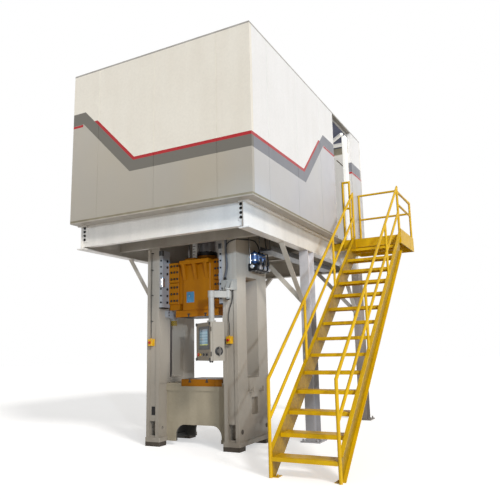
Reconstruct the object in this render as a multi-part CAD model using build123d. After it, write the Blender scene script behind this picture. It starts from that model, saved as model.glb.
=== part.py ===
from build123d import *

import math
import os

# A hydraulic press with two side frames under a raised deck, with a panelled enclosure on the deck,
# a swinging control pendant and a steel stair with a landing.
# Millimetres. Origin on the floor at the middle of the press, X to the right along its front,
# Y towards its back, Z up. The slide stands at the top of its stroke.

# Clearances
RUNNING_FIT = 0.05
SLIDING_GAP = 0.3
LOOSE_GAP = 1.0

# Press side frames
PRESS_DEPTH = 970.0
FRAME_WIDTH = 227.0
INNER_PLATE = 60.0
OUTER_PLATE = 50.0
FRAME_WEB = 30.0
FRONT_RECESS = 15.0
FRAME_TOP = 4250.0
WINDOW_FRONT = -200.0
WINDOW_BACK = 170.0
WINDOW_BOTTOM = 975.0
WINDOW_TOP = 2440.0
WINDOW_CORNER = 30.0
POCKET_BOTTOM = 151.0
POCKET_TOP = 357.0
SIDE_POCKET_FRONT = -87.0
SIDE_POCKET_BACK = 112.0
SIDE_POCKET_BOTTOM = 456.0
SIDE_POCKET_TOP = 696.0
SIDE_POCKET_CORNER = 18.0
LIFT_HOLE = 50.0
LIFT_HOLE_Y = 384.0
LIFT_HOLE_Z = 256.0
WEAR_PAD = 10.0
WEAR_PAD_DEPTH = 200.0

# Feet
PAD_HEIGHT = 62.0
PAD_DEPTH = 177.0
RAIL_HEIGHT = 63.0
RAIL_INSIDE = 542.0
RAIL_OVERHANG = 14.0
RAIL_END_OVERHANG = 6.0
PRESS_ANCHOR_HOLE = 33.0

# Bed and bolster
BED_DEPTH = 560.0
BED_PLATE = 40.0
BED_TOP_PLATE = 66.0
BED_TOP = 856.0
BED_LIP = 16.0
ARCH_WIDTH = 790.0
ARCH_TOP = 300.0
ARCH_CORNER = 150.0
BED_FLANGE_HEIGHT = 53.0
BED_FLANGE_PROUD = 16.0
BED_RIB = 40.0
BED_RIB_X = 190.0
SHELF_HEIGHT = 49.0
SHELF_PROUD = 5.0
BOLSTER_WIDTH = 600.0
BOLSTER_DEPTH = 550.0
BOLSTER_HEIGHT = 104.0
BOLSTER_EDGE = 6.0
SLOT_X = 150.0
SLOT_NECK = 28.0
SLOT_HEAD = 50.0
SLOT_NECK_DEPTH = 30.0
SLOT_HEAD_DEPTH = 22.0

# Slide at the top of its stroke
DAYLIGHT = 928.0
STROKE = 610.0
SLIDE_PLATE_WIDTH = 770.0
SLIDE_PLATE_DEPTH = 600.0
SLIDE_PLATE = 102.0
SLIDE_BODY_WIDTH = 524.0
SLIDE_BODY_DEPTH = 640.0
SLIDE_BODY_CORNER = 40.0
SLIDE_HEIGHT = 862.0
HOOD_THICKNESS = 60.0
HOOD_REACH = 70.0
RIB_THICKNESS = 50.0
RIB_HEIGHT = 235.0
RIB_X = 200.0
RIB_TIP = 12.0
WING_BOTTOM = 207.0
WING_TOP = 852.0
WING_SPAN = 1010.0
WING_DEPTH = 580.0
GIB_PLATE = 30.0
GIB_PLATE_INSIDE = 323.0
GIB_PLATE_SPLIT = 536.0
GIB_PLATE_GAP = 12.0
LUG_BOTTOM = 115.0
LUG_DEPTH = 60.0

# Gib housings on the posts
GIB_THICKNESS = 59.7
GIB_BOTTOM = 2043.0
GIB_TOP = 2926.0
GIB_DEPTH = 185.0
GIB_COVER_BOTTOM = 2394.0
GIB_COVER_TOP = 2485.0
GIB_COVER_PROUD = 7.0
GIB_CAP_BOTTOM = 2842.0
GIB_CAP_PROUD = 21.0
GIB_CAP_LENGTH = 152.0

# Rod, cylinder and crown
ROD = 300.0
ROD_BOSS = 340.0
ROD_BOSS_HEIGHT = 93.0
ROD_RING_HEIGHT = 18.0
CROWN_BOTTOM = 3300.0
CROWN_PLATE = 80.0
CROWN_WALL = 50.0
CROWN_RIB_X = 380.0
CYLINDER_OUTER = 560.0
CYLINDER_BORE = 400.0
CYLINDER_FLANGE = 680.0
CYLINDER_FLANGE_THICKNESS = 40.0
GLAND_BOTTOM = 3225.0
PISTON = 60.0
PISTON_TOP_GAP = 60.0
CYLINDER_CAP = 50.0

# Side rod and scale bar on the slide
ROD_BLOCK_LEFT = -195.0
ROD_BLOCK_RIGHT = -10.0
ROD_BLOCK_PROUD = 10.0
ROD_BLOCK_DEPTH = 115.0
ROD_BLOCK_HEIGHT = 38.0
SIDE_ROD = 40.0
SIDE_ROD_X = -165.0
SIDE_ROD_INSET = 58.0
SIDE_ROD_HEADROOM = 7.0
SCALE_BAR_X = -58.0
SCALE_BAR_WIDTH = 78.0
SCALE_BAR_THICKNESS = 12.0

# Guard behind the daylight
GUARD_THICKNESS = 6.0
GUARD_BOTTOM = 2000.0

# Ledge bracket and striped stop on the left post
LEDGE_FRONT = -335.0
LEDGE_BACK = -66.0
LEDGE_BOTTOM = 1868.0
LEDGE_TOP = 1995.0
LEDGE_THICKNESS = 54.0
STOP_FRONT = -171.0
STOP_BACK = -92.0
STOP_BOTTOM = 1774.0

# Right side fittings
HOOK_FRONT = -165.0
HOOK_BACK = 179.0
HOOK_BOTTOM = 775.0
HOOK_TOP = 977.0
HOOK_PLATE = 12.0
HOOK_REACH = 70.0
HOOK_ARM = 26.0
HOOK_TIP = 45.0
MANIFOLD_FRONT = -108.0
MANIFOLD_BACK = 300.0
MANIFOLD_BOTTOM = 2539.0
MANIFOLD_HEIGHT = 105.0
MANIFOLD_REACH = 150.0
ACCUMULATOR = 104.0
ACCUMULATOR_TOP = 2830.0
ACCUMULATOR_COUNT = 3
ACCUMULATOR_NECK = 46.0

# Emergency stop boxes on the posts
STOP_BOX_WIDTH = 78.0
STOP_BOX_HEIGHT = 104.0
STOP_BOX_DEPTH = 70.0
STOP_BOX_LEFT_OUT = 132.0
STOP_BOX_RIGHT_OUT = 113.0
STOP_BOX_Z = 1515.0
STOP_GLAND = 24.0
STOP_GLAND_HEIGHT = 12.0
MUSHROOM = 40.0
MUSHROOM_HEIGHT = 15.0
MUSHROOM_STEM = 22.0
BUTTON_TRAVEL = 5.0
STEM_LENGTH = 22.0

# Pendant
PIVOT_OUT = 125.0
PIVOT_Y = -560.0
PIVOT_PIN = 40.0
PIVOT_COLLAR = 66.0
KNUCKLE = 90.0
BRACKET_WIDTH = 258.0
BRACKET_OUT = 112.0
BRACKET_BOTTOM = 2223.0
BRACKET_TOP = 2379.0
BRACKET_PLATE = 14.0
BRACKET_EAR = 20.0
ARM_BOTTOM = 2109.0
ARM_HEIGHT = 93.0
ARM_WIDTH = 64.0
ARM_LENGTH = 255.0
ARM_ANGLE = 35.0
DROP_TUBE = 80.0
DROP_TUBE_SPIGOT = 50.0
SWIVEL_HEIGHT = 18.0
SWIVEL_COLLAR = 120.0
BOX_WIDTH = 500.0
BOX_FRONT = -124.0
BOX_BACK = 82.0
BOX_BOTTOM = 1240.0
BOX_TOP = 1755.0
BOX_CORNER = 10.0
BEZEL_LEFT = -153.0
BEZEL_RIGHT = 215.0
BEZEL_BOTTOM = 1392.0
BEZEL_TOP = 1699.0
BEZEL_THICKNESS = 10.0
GLASS_LEFT = -110.0
GLASS_RIGHT = 169.0
GLASS_BOTTOM = 1446.0
GLASS_TOP = 1663.0
GLASS_RECESS = 3.0
CONTROL_Z = 1322.0
STOP_BUTTON_X = -162.0
YELLOW_BUTTON_X = -78.0
BLACK_BUTTON_X = 25.0
SELECTOR_X = 129.0
PUSH_BUTTON = 34.0
PUSH_BUTTON_HEIGHT = 12.0
PUSH_STEM = 20.0
SELECTOR_KNOB = 36.0
SELECTOR_HEIGHT = 20.0
SELECTOR_GRIP = 10.0
HANDLE_Y = -3.0
HANDLE_Z = 1365.0
HANDLE_HUB = 60.0
HANDLE_HUB_HEIGHT = 18.0
HANDLE_STEM = 24.0
HANDLE_LENGTH = 110.0
HANDLE_WIDTH = 24.0
HANDLE_THICKNESS = 16.0

# Raised deck
DECK_TOP = 3264.0
DECK_PLATE = 14.0
DECK_LEFT = -1411.0
DECK_RIGHT = 1628.0
DECK_FRONT = -1543.0
DECK_BACK = 3423.0
DECK_HOLE_MARGIN = 30.0
BEAM_DEPTH = 358.0
BEAM_FLANGE = 150.0
BEAM_FLANGE_THICKNESS = 15.0
BEAM_WEB = 9.0
COLUMN_LEFT_X = -1333.0
COLUMN_RIGHT_X = 1410.0
COLUMN_FRONT_Y = 723.0
COLUMN_REAR_Y = 3460.0
COLUMN_DEPTH = 259.0
COLUMN_FLANGE = 146.0
COLUMN_FLANGE_THICKNESS = 12.0
COLUMN_WEB = 8.0
BASE_PLATE_WIDTH = 310.0
BASE_PLATE_DEPTH = 320.0
BASE_PLATE = 20.0
ANCHOR = 24.0
ANCHOR_HEIGHT = 34.0
ANCHOR_INSET = 40.0
SIDE_BEAM_FRONT = -1390.0
SIDE_BEAM_BACK = 3600.0
FRONT_BEAM_FACE = -1340.0
FRONT_BEAM_DEPTH = 320.0
FRONT_BEAM_FLANGE = 85.0
FRONT_BEAM_WEB = 12.0
JOIST_DEPTH = 128.0
JOIST_FLANGE = 76.0
JOIST_THICKNESS = 8.0
HEADER_DEPTH = 290.0
HEADER_FLANGE = 80.0
HEADER_THICKNESS = 12.0
CLIP_LEG = 90.0
CLIP_THICKNESS = 10.0
CLIP_BOTTOM = 3000.0
CLIP_TOP = 3232.0

# Knee braces
BRACE_LEG = 76.0
BRACE_THICKNESS = 9.0
BRACE_FOOT_Z = 1961.0
BRACE_ANGLE = 47.5

# Cable tray under the deck
TRAY_X = 1100.0
TRAY_WIDTH = 200.0
TRAY_HEIGHT = 80.0
TRAY_BOTTOM = 2805.0
TRAY_FRONT = -120.0
TRAY_BACK = 2600.0
TRAY_WALL = 5.0
TRAY_HANGERS = 3
TRAY_ROD = 14.0

# Enclosure on the deck
WALL_TOP = 5600.0
WALL = 60.0
CAP_HEIGHT = 25.0
ROOF = 60.0
SEAM_WIDTH = 8.0
SEAM_DEPTH = 4.0
PANEL_WIDTH = 1013.0
FIRST_SEAM = 505.0
DOORWAY_FRONT = 1708.0
DOORWAY_BACK = 2785.0

# Hydraulic unit inside the enclosure
TANK_LENGTH = 1500.0
TANK_DEPTH = 800.0
TANK_HEIGHT = 700.0
TANK_Y = 1500.0
TANK_FOOT = 80.0
MOTOR = 360.0
MOTOR_LENGTH = 560.0
MOTOR_FEET = 120.0

# Stair
STAIR_LEFT = 1845.0
STAIR_RIGHT = 2599.0
RISER_COUNT = 15
GOING = 262.8
STAIR_END = 2011.5
TREAD_DEPTH = 255.0
TREAD_LIP = 43.0
TREAD_PLATE = 6.0
STRINGER_FLANGE = 50.0
STRINGER_THICKNESS = 10.0
STRINGER_ABOVE = 35.0
STRINGER_BELOW = 295.0
RAIL_TUBE = 40.0
FOOT_POST_HEIGHT = 1049.0
FOOT_POST_Y = -1658.0
TOP_POST_HEIGHT = 830.0
MID_RAIL_DROP = 433.0
LEFT_POSTS = (1185.0, 2485.0)
RIGHT_POSTS = (1335.0, 2669.0)
FOOT_CLIP = 58.0
FOOT_CLIP_DEPTH = 110.0
FOOT_CLIP_PLATE = 8.0

# Landing
LANDING_DEPTH = 1073.5
LANDING_PLATE = 8.0
FASCIA = 152.0
FASCIA_THICKNESS = 10.0
TOE_BOARD = 102.0
TOE_PLATE = 6.0
GUARD_HEIGHT = 1067.0
GUARD_MID = 580.0
SIDE_GUARD_HEIGHT = 785.0
SIDE_GUARD_MID = 551.0
HOOP_LEFT = 1655.0
HOOP_RIGHT = 1775.0
BACK_GUARD_LEVEL = 0.75
OUTRIGGER = 100.0

# Cables and hoses
STOP_CABLE = 12.0
LEFT_CABLE = 10.0
LEFT_CABLE_TOP = 2900.0
CONDUIT = 32.0
HOSE = 18.0
CABLE_CLIP = 8.0

# Worked-out places
INSIDE_X = WING_SPAN / 2 + SLIDING_GAP + GIB_THICKNESS
PRESS_HALF = INSIDE_X + FRAME_WIDTH
DEPTH_HALF = PRESS_DEPTH / 2
STOP_BOX_LEFT_X = -INSIDE_X - STOP_BOX_LEFT_OUT
STOP_BOX_RIGHT_X = INSIDE_X + STOP_BOX_RIGHT_OUT
PIVOT_X = INSIDE_X + PIVOT_OUT
BRACKET_X = INSIDE_X + BRACKET_OUT
ROD_BLOCK_FRONT = -SLIDE_BODY_DEPTH / 2 - ROD_BLOCK_PROUD
ROD_BLOCK_BACK = ROD_BLOCK_FRONT + ROD_BLOCK_DEPTH
SIDE_ROD_Y = -SLIDE_BODY_DEPTH / 2 + SIDE_ROD_INSET
FRAME_BOTTOM = PAD_HEIGHT + RAIL_HEIGHT
WEB_INSIDE = INSIDE_X + INNER_PLATE
WEB_OUTSIDE = PRESS_HALF - OUTER_PLATE
WEB_FRONT = -DEPTH_HALF + FRONT_RECESS
BOLSTER_TOP = BED_TOP + BOLSTER_HEIGHT
SLIDE_BOTTOM = BOLSTER_TOP + DAYLIGHT
SLIDE_TOP = SLIDE_BOTTOM + SLIDE_HEIGHT
BOSS_TOP = SLIDE_TOP + ROD_BOSS_HEIGHT
DECK_UNDER = DECK_TOP - DECK_PLATE
BEAM_BOTTOM = DECK_UNDER - BEAM_DEPTH
RISER = DECK_TOP / RISER_COUNT
STAIR_SLOPE = RISER / GOING
LANDING_LEFT = DECK_RIGHT
LANDING_BACK = STAIR_END + LANDING_DEPTH
RAIL_LEFT_X = STAIR_LEFT - RAIL_TUBE / 2 - SLIDING_GAP
RAIL_RIGHT_X = STAIR_RIGHT + RAIL_TUBE / 2 + SLIDING_GAP
LANDING_RIGHT = RAIL_RIGHT_X + RAIL_TUBE / 2 + SLIDING_GAP + TOE_PLATE


def span(x_from, x_to, y_from, y_to, z_from, z_to):
    """A box between two opposite corners."""
    size = (abs(x_to - x_from), abs(y_to - y_from), abs(z_to - z_from))
    middle = ((x_from + x_to) / 2, (y_from + y_to) / 2, (z_from + z_to) / 2)
    return Pos(*middle) * Box(*size)


def rounded_span(x_from, x_to, y_from, y_to, z_from, z_to, radius):
    """A box with rounded upright edges."""
    outline = RectangleRounded(abs(x_to - x_from), abs(y_to - y_from), radius)
    middle = Pos((x_from + x_to) / 2, (y_from + y_to) / 2, z_from)
    return extrude(middle * outline, amount=z_to - z_from)


def side_plate(outline, x_from, x_to):
    """A plate standing across X, from an outline of Y and Z."""
    plane = Plane(origin=(x_from, 0, 0), x_dir=(0, 1, 0), z_dir=(1, 0, 0))
    return extrude(plane * outline, amount=x_to - x_from)


def front_plate(outline, y_from, y_to):
    """A plate standing across Y, from an outline of X and Z."""
    plane = Plane(origin=(0, y_to, 0), x_dir=(1, 0, 0), z_dir=(0, -1, 0))
    return extrude(plane * outline, amount=y_to - y_from)


def outline_of(*points):
    """A closed flat outline through the points."""
    return make_face(Polyline(*points, close=True))


def rectangle(a_from, a_to, b_from, b_to):
    """A flat rectangle between two corners."""
    return Pos((a_from + a_to) / 2, (b_from + b_to) / 2) * Rectangle(a_to - a_from, b_to - b_from)


def rounded_rectangle(a_from, a_to, b_from, b_to, radius):
    """A flat rectangle with rounded corners between two corners."""
    shape = RectangleRounded(a_to - a_from, b_to - b_from, radius)
    return Pos((a_from + a_to) / 2, (b_from + b_to) / 2) * shape


def bar(start, end, diameter):
    """A round bar between two points."""
    start = Vector(*start)
    end = Vector(*end)
    way = end - start
    return Solid.make_cylinder(diameter / 2, way.length, Plane(origin=start, z_dir=way))


def upright(x, y, z_from, z_to, diameter):
    """A round upright bar."""
    return Pos(x, y, (z_from + z_to) / 2) * Cylinder(diameter / 2, z_to - z_from)


def forward(x, z, y_from, y_to, diameter):
    """A round bar along Y."""
    return Pos(x, (y_from + y_to) / 2, z) * Rot(90, 0, 0) * Cylinder(diameter / 2, y_to - y_from)


def across(y, z, x_from, x_to, diameter):
    """A round bar along X."""
    return Pos((x_from + x_to) / 2, y, z) * Rot(0, 90, 0) * Cylinder(diameter / 2, x_to - x_from)


def save(shape, name):
    """Write one piece to its own file."""
    export_step(shape, f"parts/{name}.step")


def side_mirror(shape, side):
    """The shape as it is on the right, or its mirror on the left."""
    if side > 0:
        return shape
    return mirror(shape, about=Plane.YZ)


# Press frame


def frame_face():
    """Outline of one side plate, with the window and the lifting holes."""
    face = rectangle(-DEPTH_HALF, DEPTH_HALF, FRAME_BOTTOM, FRAME_TOP)
    face -= rounded_rectangle(WINDOW_FRONT, WINDOW_BACK, WINDOW_BOTTOM, WINDOW_TOP, WINDOW_CORNER)
    for way in (-1, 1):
        face -= Pos(way * LIFT_HOLE_Y, LIFT_HOLE_Z) * Circle(LIFT_HOLE / 2)
    return face


def outer_face():
    """Outline of the outer side plate, which also has the service pocket."""
    pocket = rounded_rectangle(
        SIDE_POCKET_FRONT, SIDE_POCKET_BACK, SIDE_POCKET_BOTTOM, SIDE_POCKET_TOP, SIDE_POCKET_CORNER
    )
    return frame_face() - pocket


def frame_webs():
    """Webs that close the post fronts and backs and line the window."""
    web_back = DEPTH_HALF - FRONT_RECESS
    front = span(WEB_INSIDE, WEB_OUTSIDE, WEB_FRONT, WEB_FRONT + FRAME_WEB, POCKET_TOP, FRAME_TOP)
    sill = span(WEB_INSIDE, WEB_OUTSIDE, WEB_FRONT, WEB_FRONT + FRAME_WEB, FRAME_BOTTOM, POCKET_BOTTOM)
    back = span(WEB_INSIDE, WEB_OUTSIDE, web_back - FRAME_WEB, web_back, POCKET_TOP, FRAME_TOP)
    back_sill = span(WEB_INSIDE, WEB_OUTSIDE, web_back - FRAME_WEB, web_back, FRAME_BOTTOM, POCKET_BOTTOM)
    return [front, sill, back, back_sill, frame_face_liner()]


def frame_face_liner():
    """Lining of the window between the two plates."""
    outer = rectangle(
        WINDOW_FRONT - FRAME_WEB, WINDOW_BACK + FRAME_WEB, WINDOW_BOTTOM - FRAME_WEB, WINDOW_TOP + FRAME_WEB
    )
    inner = rounded_rectangle(WINDOW_FRONT, WINDOW_BACK, WINDOW_BOTTOM, WINDOW_TOP, WINDOW_CORNER)
    return side_plate(outer - inner, WEB_INSIDE, WEB_OUTSIDE)


def side_frame(side):
    """One side frame of the press: two plates, their webs and the wear pad."""
    frame = side_plate(frame_face(), INSIDE_X, WEB_INSIDE)
    frame += side_plate(outer_face(), WEB_OUTSIDE, PRESS_HALF)
    for web in frame_webs():
        frame += web
    pad_back = -DEPTH_HALF + WEAR_PAD_DEPTH
    pad_bottom = BED_TOP + SHELF_HEIGHT
    frame += span(INSIDE_X - WEAR_PAD, INSIDE_X, -DEPTH_HALF, pad_back, pad_bottom, LEDGE_BOTTOM)
    return side_mirror(frame, side)


def anchor_hole(side, way):
    """Hole for the anchor bolt at one end of a base rail, reached through the post's pocket."""
    x = side * (WEB_INSIDE + WEB_OUTSIDE) / 2
    y = way * (DEPTH_HALF + RAIL_END_OVERHANG - PAD_DEPTH / 2)
    return upright(x, y, 0, FRAME_BOTTOM, PRESS_ANCHOR_HOLE)


def levelling_pads():
    """Four pads under the ends of the base rails, bored for the anchor bolts."""
    pads = []
    rail_end = DEPTH_HALF + RAIL_END_OVERHANG
    for side in (-1, 1):
        for way in (-1, 1):
            pad = span(
                side * RAIL_INSIDE,
                side * (PRESS_HALF + RAIL_OVERHANG - 1),
                way * rail_end,
                way * (rail_end - PAD_DEPTH),
                0,
                PAD_HEIGHT,
            )
            pads.append(chamfer(pad.edges().filter_by(Axis.Z), 4) - anchor_hole(side, way))
    return Compound(children=pads)


def base_rails():
    """Two thick rails that carry the side frames."""
    rails = []
    rail_end = DEPTH_HALF + RAIL_END_OVERHANG
    for side in (-1, 1):
        rail = span(
            side * RAIL_INSIDE,
            side * (PRESS_HALF + RAIL_OVERHANG),
            -rail_end,
            rail_end,
            PAD_HEIGHT,
            FRAME_BOTTOM,
        )
        rail = chamfer(rail.edges().filter_by(Axis.Z), 6)
        rails.append(rail - anchor_hole(side, -1) - anchor_hole(side, 1))
    return Compound(children=rails)


# Bed and bolster


def bed_face():
    """Outline of the bed's front and back plates with the arched opening."""
    top = BED_TOP - BED_TOP_PLATE
    face = rectangle(-INSIDE_X, INSIDE_X, FRAME_BOTTOM, top)
    face += rectangle(-RAIL_INSIDE, RAIL_INSIDE, PAD_HEIGHT, FRAME_BOTTOM)
    arch = rectangle(-ARCH_WIDTH / 2, ARCH_WIDTH / 2, PAD_HEIGHT, ARCH_TOP)
    arch = fillet(arch.vertices().group_by(Axis.Y)[-1], ARCH_CORNER)
    return face - arch


def bed():
    """Bed weldment: two arched plates, ribs, feet and a thick top plate."""
    half = BED_DEPTH / 2
    plate_top = BED_TOP - BED_TOP_PLATE
    body = front_plate(bed_face(), -half, -half + BED_PLATE)
    body += front_plate(bed_face(), half - BED_PLATE, half)
    for side in (-1, 1):
        rib = side * BED_RIB_X
        body += span(rib - BED_RIB / 2, rib + BED_RIB / 2, -half, half, ARCH_TOP, plate_top)
        for way in (-1, 1):
            body += span(
                side * ARCH_WIDTH / 2,
                side * RAIL_INSIDE,
                way * (half - BED_PLATE),
                way * (half + BED_FLANGE_PROUD),
                PAD_HEIGHT,
                PAD_HEIGHT + BED_FLANGE_HEIGHT,
            )
    lip = half + BED_LIP
    body += span(-INSIDE_X, INSIDE_X, -lip, lip, plate_top, BED_TOP)
    return body


def bed_side_shelves():
    """Grey ledges on both sides of the bolster."""
    reach = BED_DEPTH / 2 + SHELF_PROUD
    shelves = []
    for side in (-1, 1):
        shelf = span(
            side * BOLSTER_WIDTH / 2, side * INSIDE_X, -reach, reach, BED_TOP, BED_TOP + SHELF_HEIGHT
        )
        shelves.append(shelf)
    return Compound(children=shelves)


def slot_face(surface, way):
    """Outline of one T-slot that opens at a level surface, upwards or downwards."""
    neck_end = surface - way * SLOT_NECK_DEPTH
    head_end = neck_end - way * SLOT_HEAD_DEPTH
    neck = rectangle(-SLOT_NECK / 2, SLOT_NECK / 2, min(surface, neck_end), max(surface, neck_end))
    head = rectangle(-SLOT_HEAD / 2, SLOT_HEAD / 2, min(neck_end, head_end), max(neck_end, head_end))
    return neck + head


def slots(surface, way, reach):
    """The two T-slots that run from front to back."""
    cuts = []
    for side in (-1, 1):
        face = Pos(side * SLOT_X, 0) * slot_face(surface, way)
        cuts.append(front_plate(face, -reach, reach))
    return cuts


def bolster():
    """Bolster plate with T-slots in its top."""
    plate = span(
        -BOLSTER_WIDTH / 2,
        BOLSTER_WIDTH / 2,
        -BOLSTER_DEPTH / 2,
        BOLSTER_DEPTH / 2,
        BED_TOP,
        BOLSTER_TOP,
    )
    plate = chamfer(plate.edges().group_by(Axis.Z)[-1], BOLSTER_EDGE)
    for cut in slots(BOLSTER_TOP, 1, BOLSTER_DEPTH):
        plate -= cut
    return plate


# Slide


def slide_rib(x, way):
    """A gusset under the hood: a wedge from the body's face out to the hood's edge."""
    hood_under = SLIDE_TOP - HOOD_THICKNESS
    face_y = way * SLIDE_BODY_DEPTH / 2
    edge_y = way * (SLIDE_BODY_DEPTH / 2 + HOOD_REACH)
    inner_y = face_y - way * RIB_TIP
    wedge = outline_of(
        (inner_y, hood_under),
        (edge_y, hood_under),
        (edge_y, hood_under - RIB_TIP),
        (face_y + way * RIB_TIP, hood_under - RIB_HEIGHT),
        (inner_y, hood_under - RIB_HEIGHT),
    )
    return side_plate(wedge, x - RIB_THICKNESS / 2, x + RIB_THICKNESS / 2)


def slide():
    """Slide weldment: T-slotted plate, hollow-look body, wings, hood, gussets, boss and lugs."""
    plate_half = SLIDE_PLATE_WIDTH / 2
    plate_reach = SLIDE_PLATE_DEPTH / 2
    plate_top = SLIDE_BOTTOM + SLIDE_PLATE
    body_half = SLIDE_BODY_WIDTH / 2
    body_reach = SLIDE_BODY_DEPTH / 2
    wing_half = WING_SPAN / 2
    hood_reach = body_reach + HOOD_REACH
    plate = span(-plate_half, plate_half, -plate_reach, plate_reach, SLIDE_BOTTOM, plate_top)
    for cut in slots(SLIDE_BOTTOM, -1, SLIDE_PLATE_DEPTH):
        plate -= cut
    body = plate + rounded_span(
        -body_half, body_half, -body_reach, body_reach, plate_top, SLIDE_TOP, SLIDE_BODY_CORNER
    )
    body += span(
        -wing_half,
        wing_half,
        -WING_DEPTH / 2,
        WING_DEPTH / 2,
        SLIDE_BOTTOM + WING_BOTTOM,
        SLIDE_BOTTOM + WING_TOP,
    )
    body += span(-body_half, body_half, -hood_reach, hood_reach, SLIDE_TOP - HOOD_THICKNESS, SLIDE_TOP)
    for x in (-RIB_X, 0, RIB_X):
        for way in (-1, 1):
            body += slide_rib(x, way)
    for side in (-1, 1):
        body += span(
            side * wing_half,
            side * GIB_PLATE_INSIDE,
            -WING_DEPTH / 2,
            -WING_DEPTH / 2 + LUG_DEPTH,
            SLIDE_BOTTOM + LUG_BOTTOM,
            SLIDE_BOTTOM + WING_BOTTOM,
        )
    body += upright(0, 0, SLIDE_TOP, BOSS_TOP, ROD_BOSS)
    block_top = SLIDE_TOP + ROD_BLOCK_HEIGHT
    body += span(
        ROD_BLOCK_LEFT, ROD_BLOCK_RIGHT, ROD_BLOCK_FRONT, ROD_BLOCK_BACK, SLIDE_TOP, block_top
    )
    return body


def slide_gib_plates():
    """Bolted guide plates, an upper and a lower one on each corner of the slide."""
    wing_bottom = SLIDE_BOTTOM + WING_BOTTOM
    wing_top = SLIDE_BOTTOM + WING_TOP
    split = SLIDE_BOTTOM + GIB_PLATE_SPLIT
    levels = (
        (wing_bottom, split - GIB_PLATE_GAP / 2),
        (split + GIB_PLATE_GAP / 2, wing_top),
    )
    plates = []
    for side in (-1, 1):
        for way in (-1, 1):
            for low, high in levels:
                plate = span(
                    side * GIB_PLATE_INSIDE,
                    side * WING_SPAN / 2,
                    way * WING_DEPTH / 2,
                    way * (WING_DEPTH / 2 + GIB_PLATE),
                    low,
                    high,
                )
                plates.append(chamfer(plate.faces().sort_by(Axis.Y)[0 if way < 0 else -1].edges(), 3))
    return Compound(children=plates)


def main_rod():
    """Polished ram with its piston."""
    piston_top = CROWN_BOTTOM + piston_chamber() - PISTON_TOP_GAP
    rod = upright(0, 0, BOSS_TOP, piston_top - PISTON, ROD)
    rod += upright(0, 0, piston_top - PISTON, piston_top, CYLINDER_BORE - 2 * SLIDING_GAP)
    return rod


def piston_chamber():
    """Height of the cylinder's bore above the crown's underside."""
    return STROKE + PISTON + 2 * PISTON_TOP_GAP


def rod_ring():
    """Black retaining ring on the boss."""
    ring = upright(0, 0, BOSS_TOP, BOSS_TOP + ROD_RING_HEIGHT, ROD_BOSS)
    ring -= upright(0, 0, BOSS_TOP, BOSS_TOP + ROD_RING_HEIGHT, ROD + 2 * SLIDING_GAP)
    return ring


def side_rod():
    """Chromed position rod that rises from the block on the slide."""
    foot = SLIDE_TOP + ROD_BLOCK_HEIGHT
    rod = upright(SIDE_ROD_X, SIDE_ROD_Y, foot, GLAND_BOTTOM - SIDE_ROD_HEADROOM, SIDE_ROD)
    return chamfer(rod.edges().group_by(Axis.Z)[-1], 4)


def scale_bar():
    """White flat bar beside the position rod."""
    foot = SLIDE_TOP + ROD_BLOCK_HEIGHT
    return span(
        SCALE_BAR_X - SCALE_BAR_WIDTH / 2,
        SCALE_BAR_X + SCALE_BAR_WIDTH / 2,
        SIDE_ROD_Y - SCALE_BAR_THICKNESS / 2,
        SIDE_ROD_Y + SCALE_BAR_THICKNESS / 2,
        foot,
        GLAND_BOTTOM - SIDE_ROD_HEADROOM,
    )


# Cylinder and crown


def crown():
    """Crown box between the side frames, bored for the cylinder."""
    body = span(-INSIDE_X, INSIDE_X, -DEPTH_HALF, DEPTH_HALF, CROWN_BOTTOM, CROWN_BOTTOM + CROWN_PLATE)
    body += span(-INSIDE_X, INSIDE_X, -DEPTH_HALF, DEPTH_HALF, FRAME_TOP - CROWN_PLATE, FRAME_TOP)
    for way in (-1, 1):
        body += span(
            -INSIDE_X,
            INSIDE_X,
            way * DEPTH_HALF,
            way * (DEPTH_HALF - CROWN_WALL),
            CROWN_BOTTOM,
            FRAME_TOP,
        )
    for side in (-1, 1):
        rib = side * CROWN_RIB_X
        body += span(
            rib - BED_RIB / 2, rib + BED_RIB / 2, -DEPTH_HALF, DEPTH_HALF, CROWN_BOTTOM, FRAME_TOP
        )
    body -= upright(0, 0, CROWN_BOTTOM, CROWN_BOTTOM + CROWN_PLATE, CYLINDER_OUTER + 2 * LOOSE_GAP)
    return body


def main_cylinder():
    """Cylinder barrel bolted under the crown, with its gland bored for the ram."""
    chamber_top = CROWN_BOTTOM + piston_chamber()
    body = upright(0, 0, GLAND_BOTTOM, chamber_top + CYLINDER_CAP, CYLINDER_OUTER)
    body += upright(0, 0, CROWN_BOTTOM - CYLINDER_FLANGE_THICKNESS, CROWN_BOTTOM, CYLINDER_FLANGE)
    body -= upright(0, 0, CROWN_BOTTOM, chamber_top, CYLINDER_BORE)
    body -= upright(0, 0, GLAND_BOTTOM, CROWN_BOTTOM, ROD + 2 * RUNNING_FIT)
    return body


# Guides, guard and brackets on the frame


def gib_housings(side):
    """Guide housings on one side frame: the front one has a cover band and a cap block."""
    housings = []
    inside = WING_SPAN / 2 + SLIDING_GAP
    front = -DEPTH_HALF
    for way in (-1, 1):
        housing = span(inside, INSIDE_X, way * DEPTH_HALF, way * (DEPTH_HALF - GIB_DEPTH), GIB_BOTTOM, GIB_TOP)
        if way < 0:
            housing += span(
                inside,
                INSIDE_X,
                front - GIB_COVER_PROUD,
                front,
                GIB_COVER_BOTTOM,
                GIB_COVER_TOP,
            )
            housing += span(
                inside,
                INSIDE_X,
                front - GIB_CAP_PROUD,
                front - GIB_CAP_PROUD + GIB_CAP_LENGTH,
                GIB_CAP_BOTTOM,
                GIB_TOP,
            )
        housings.append(side_mirror(housing, side))
    return Compound(children=housings)


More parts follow.
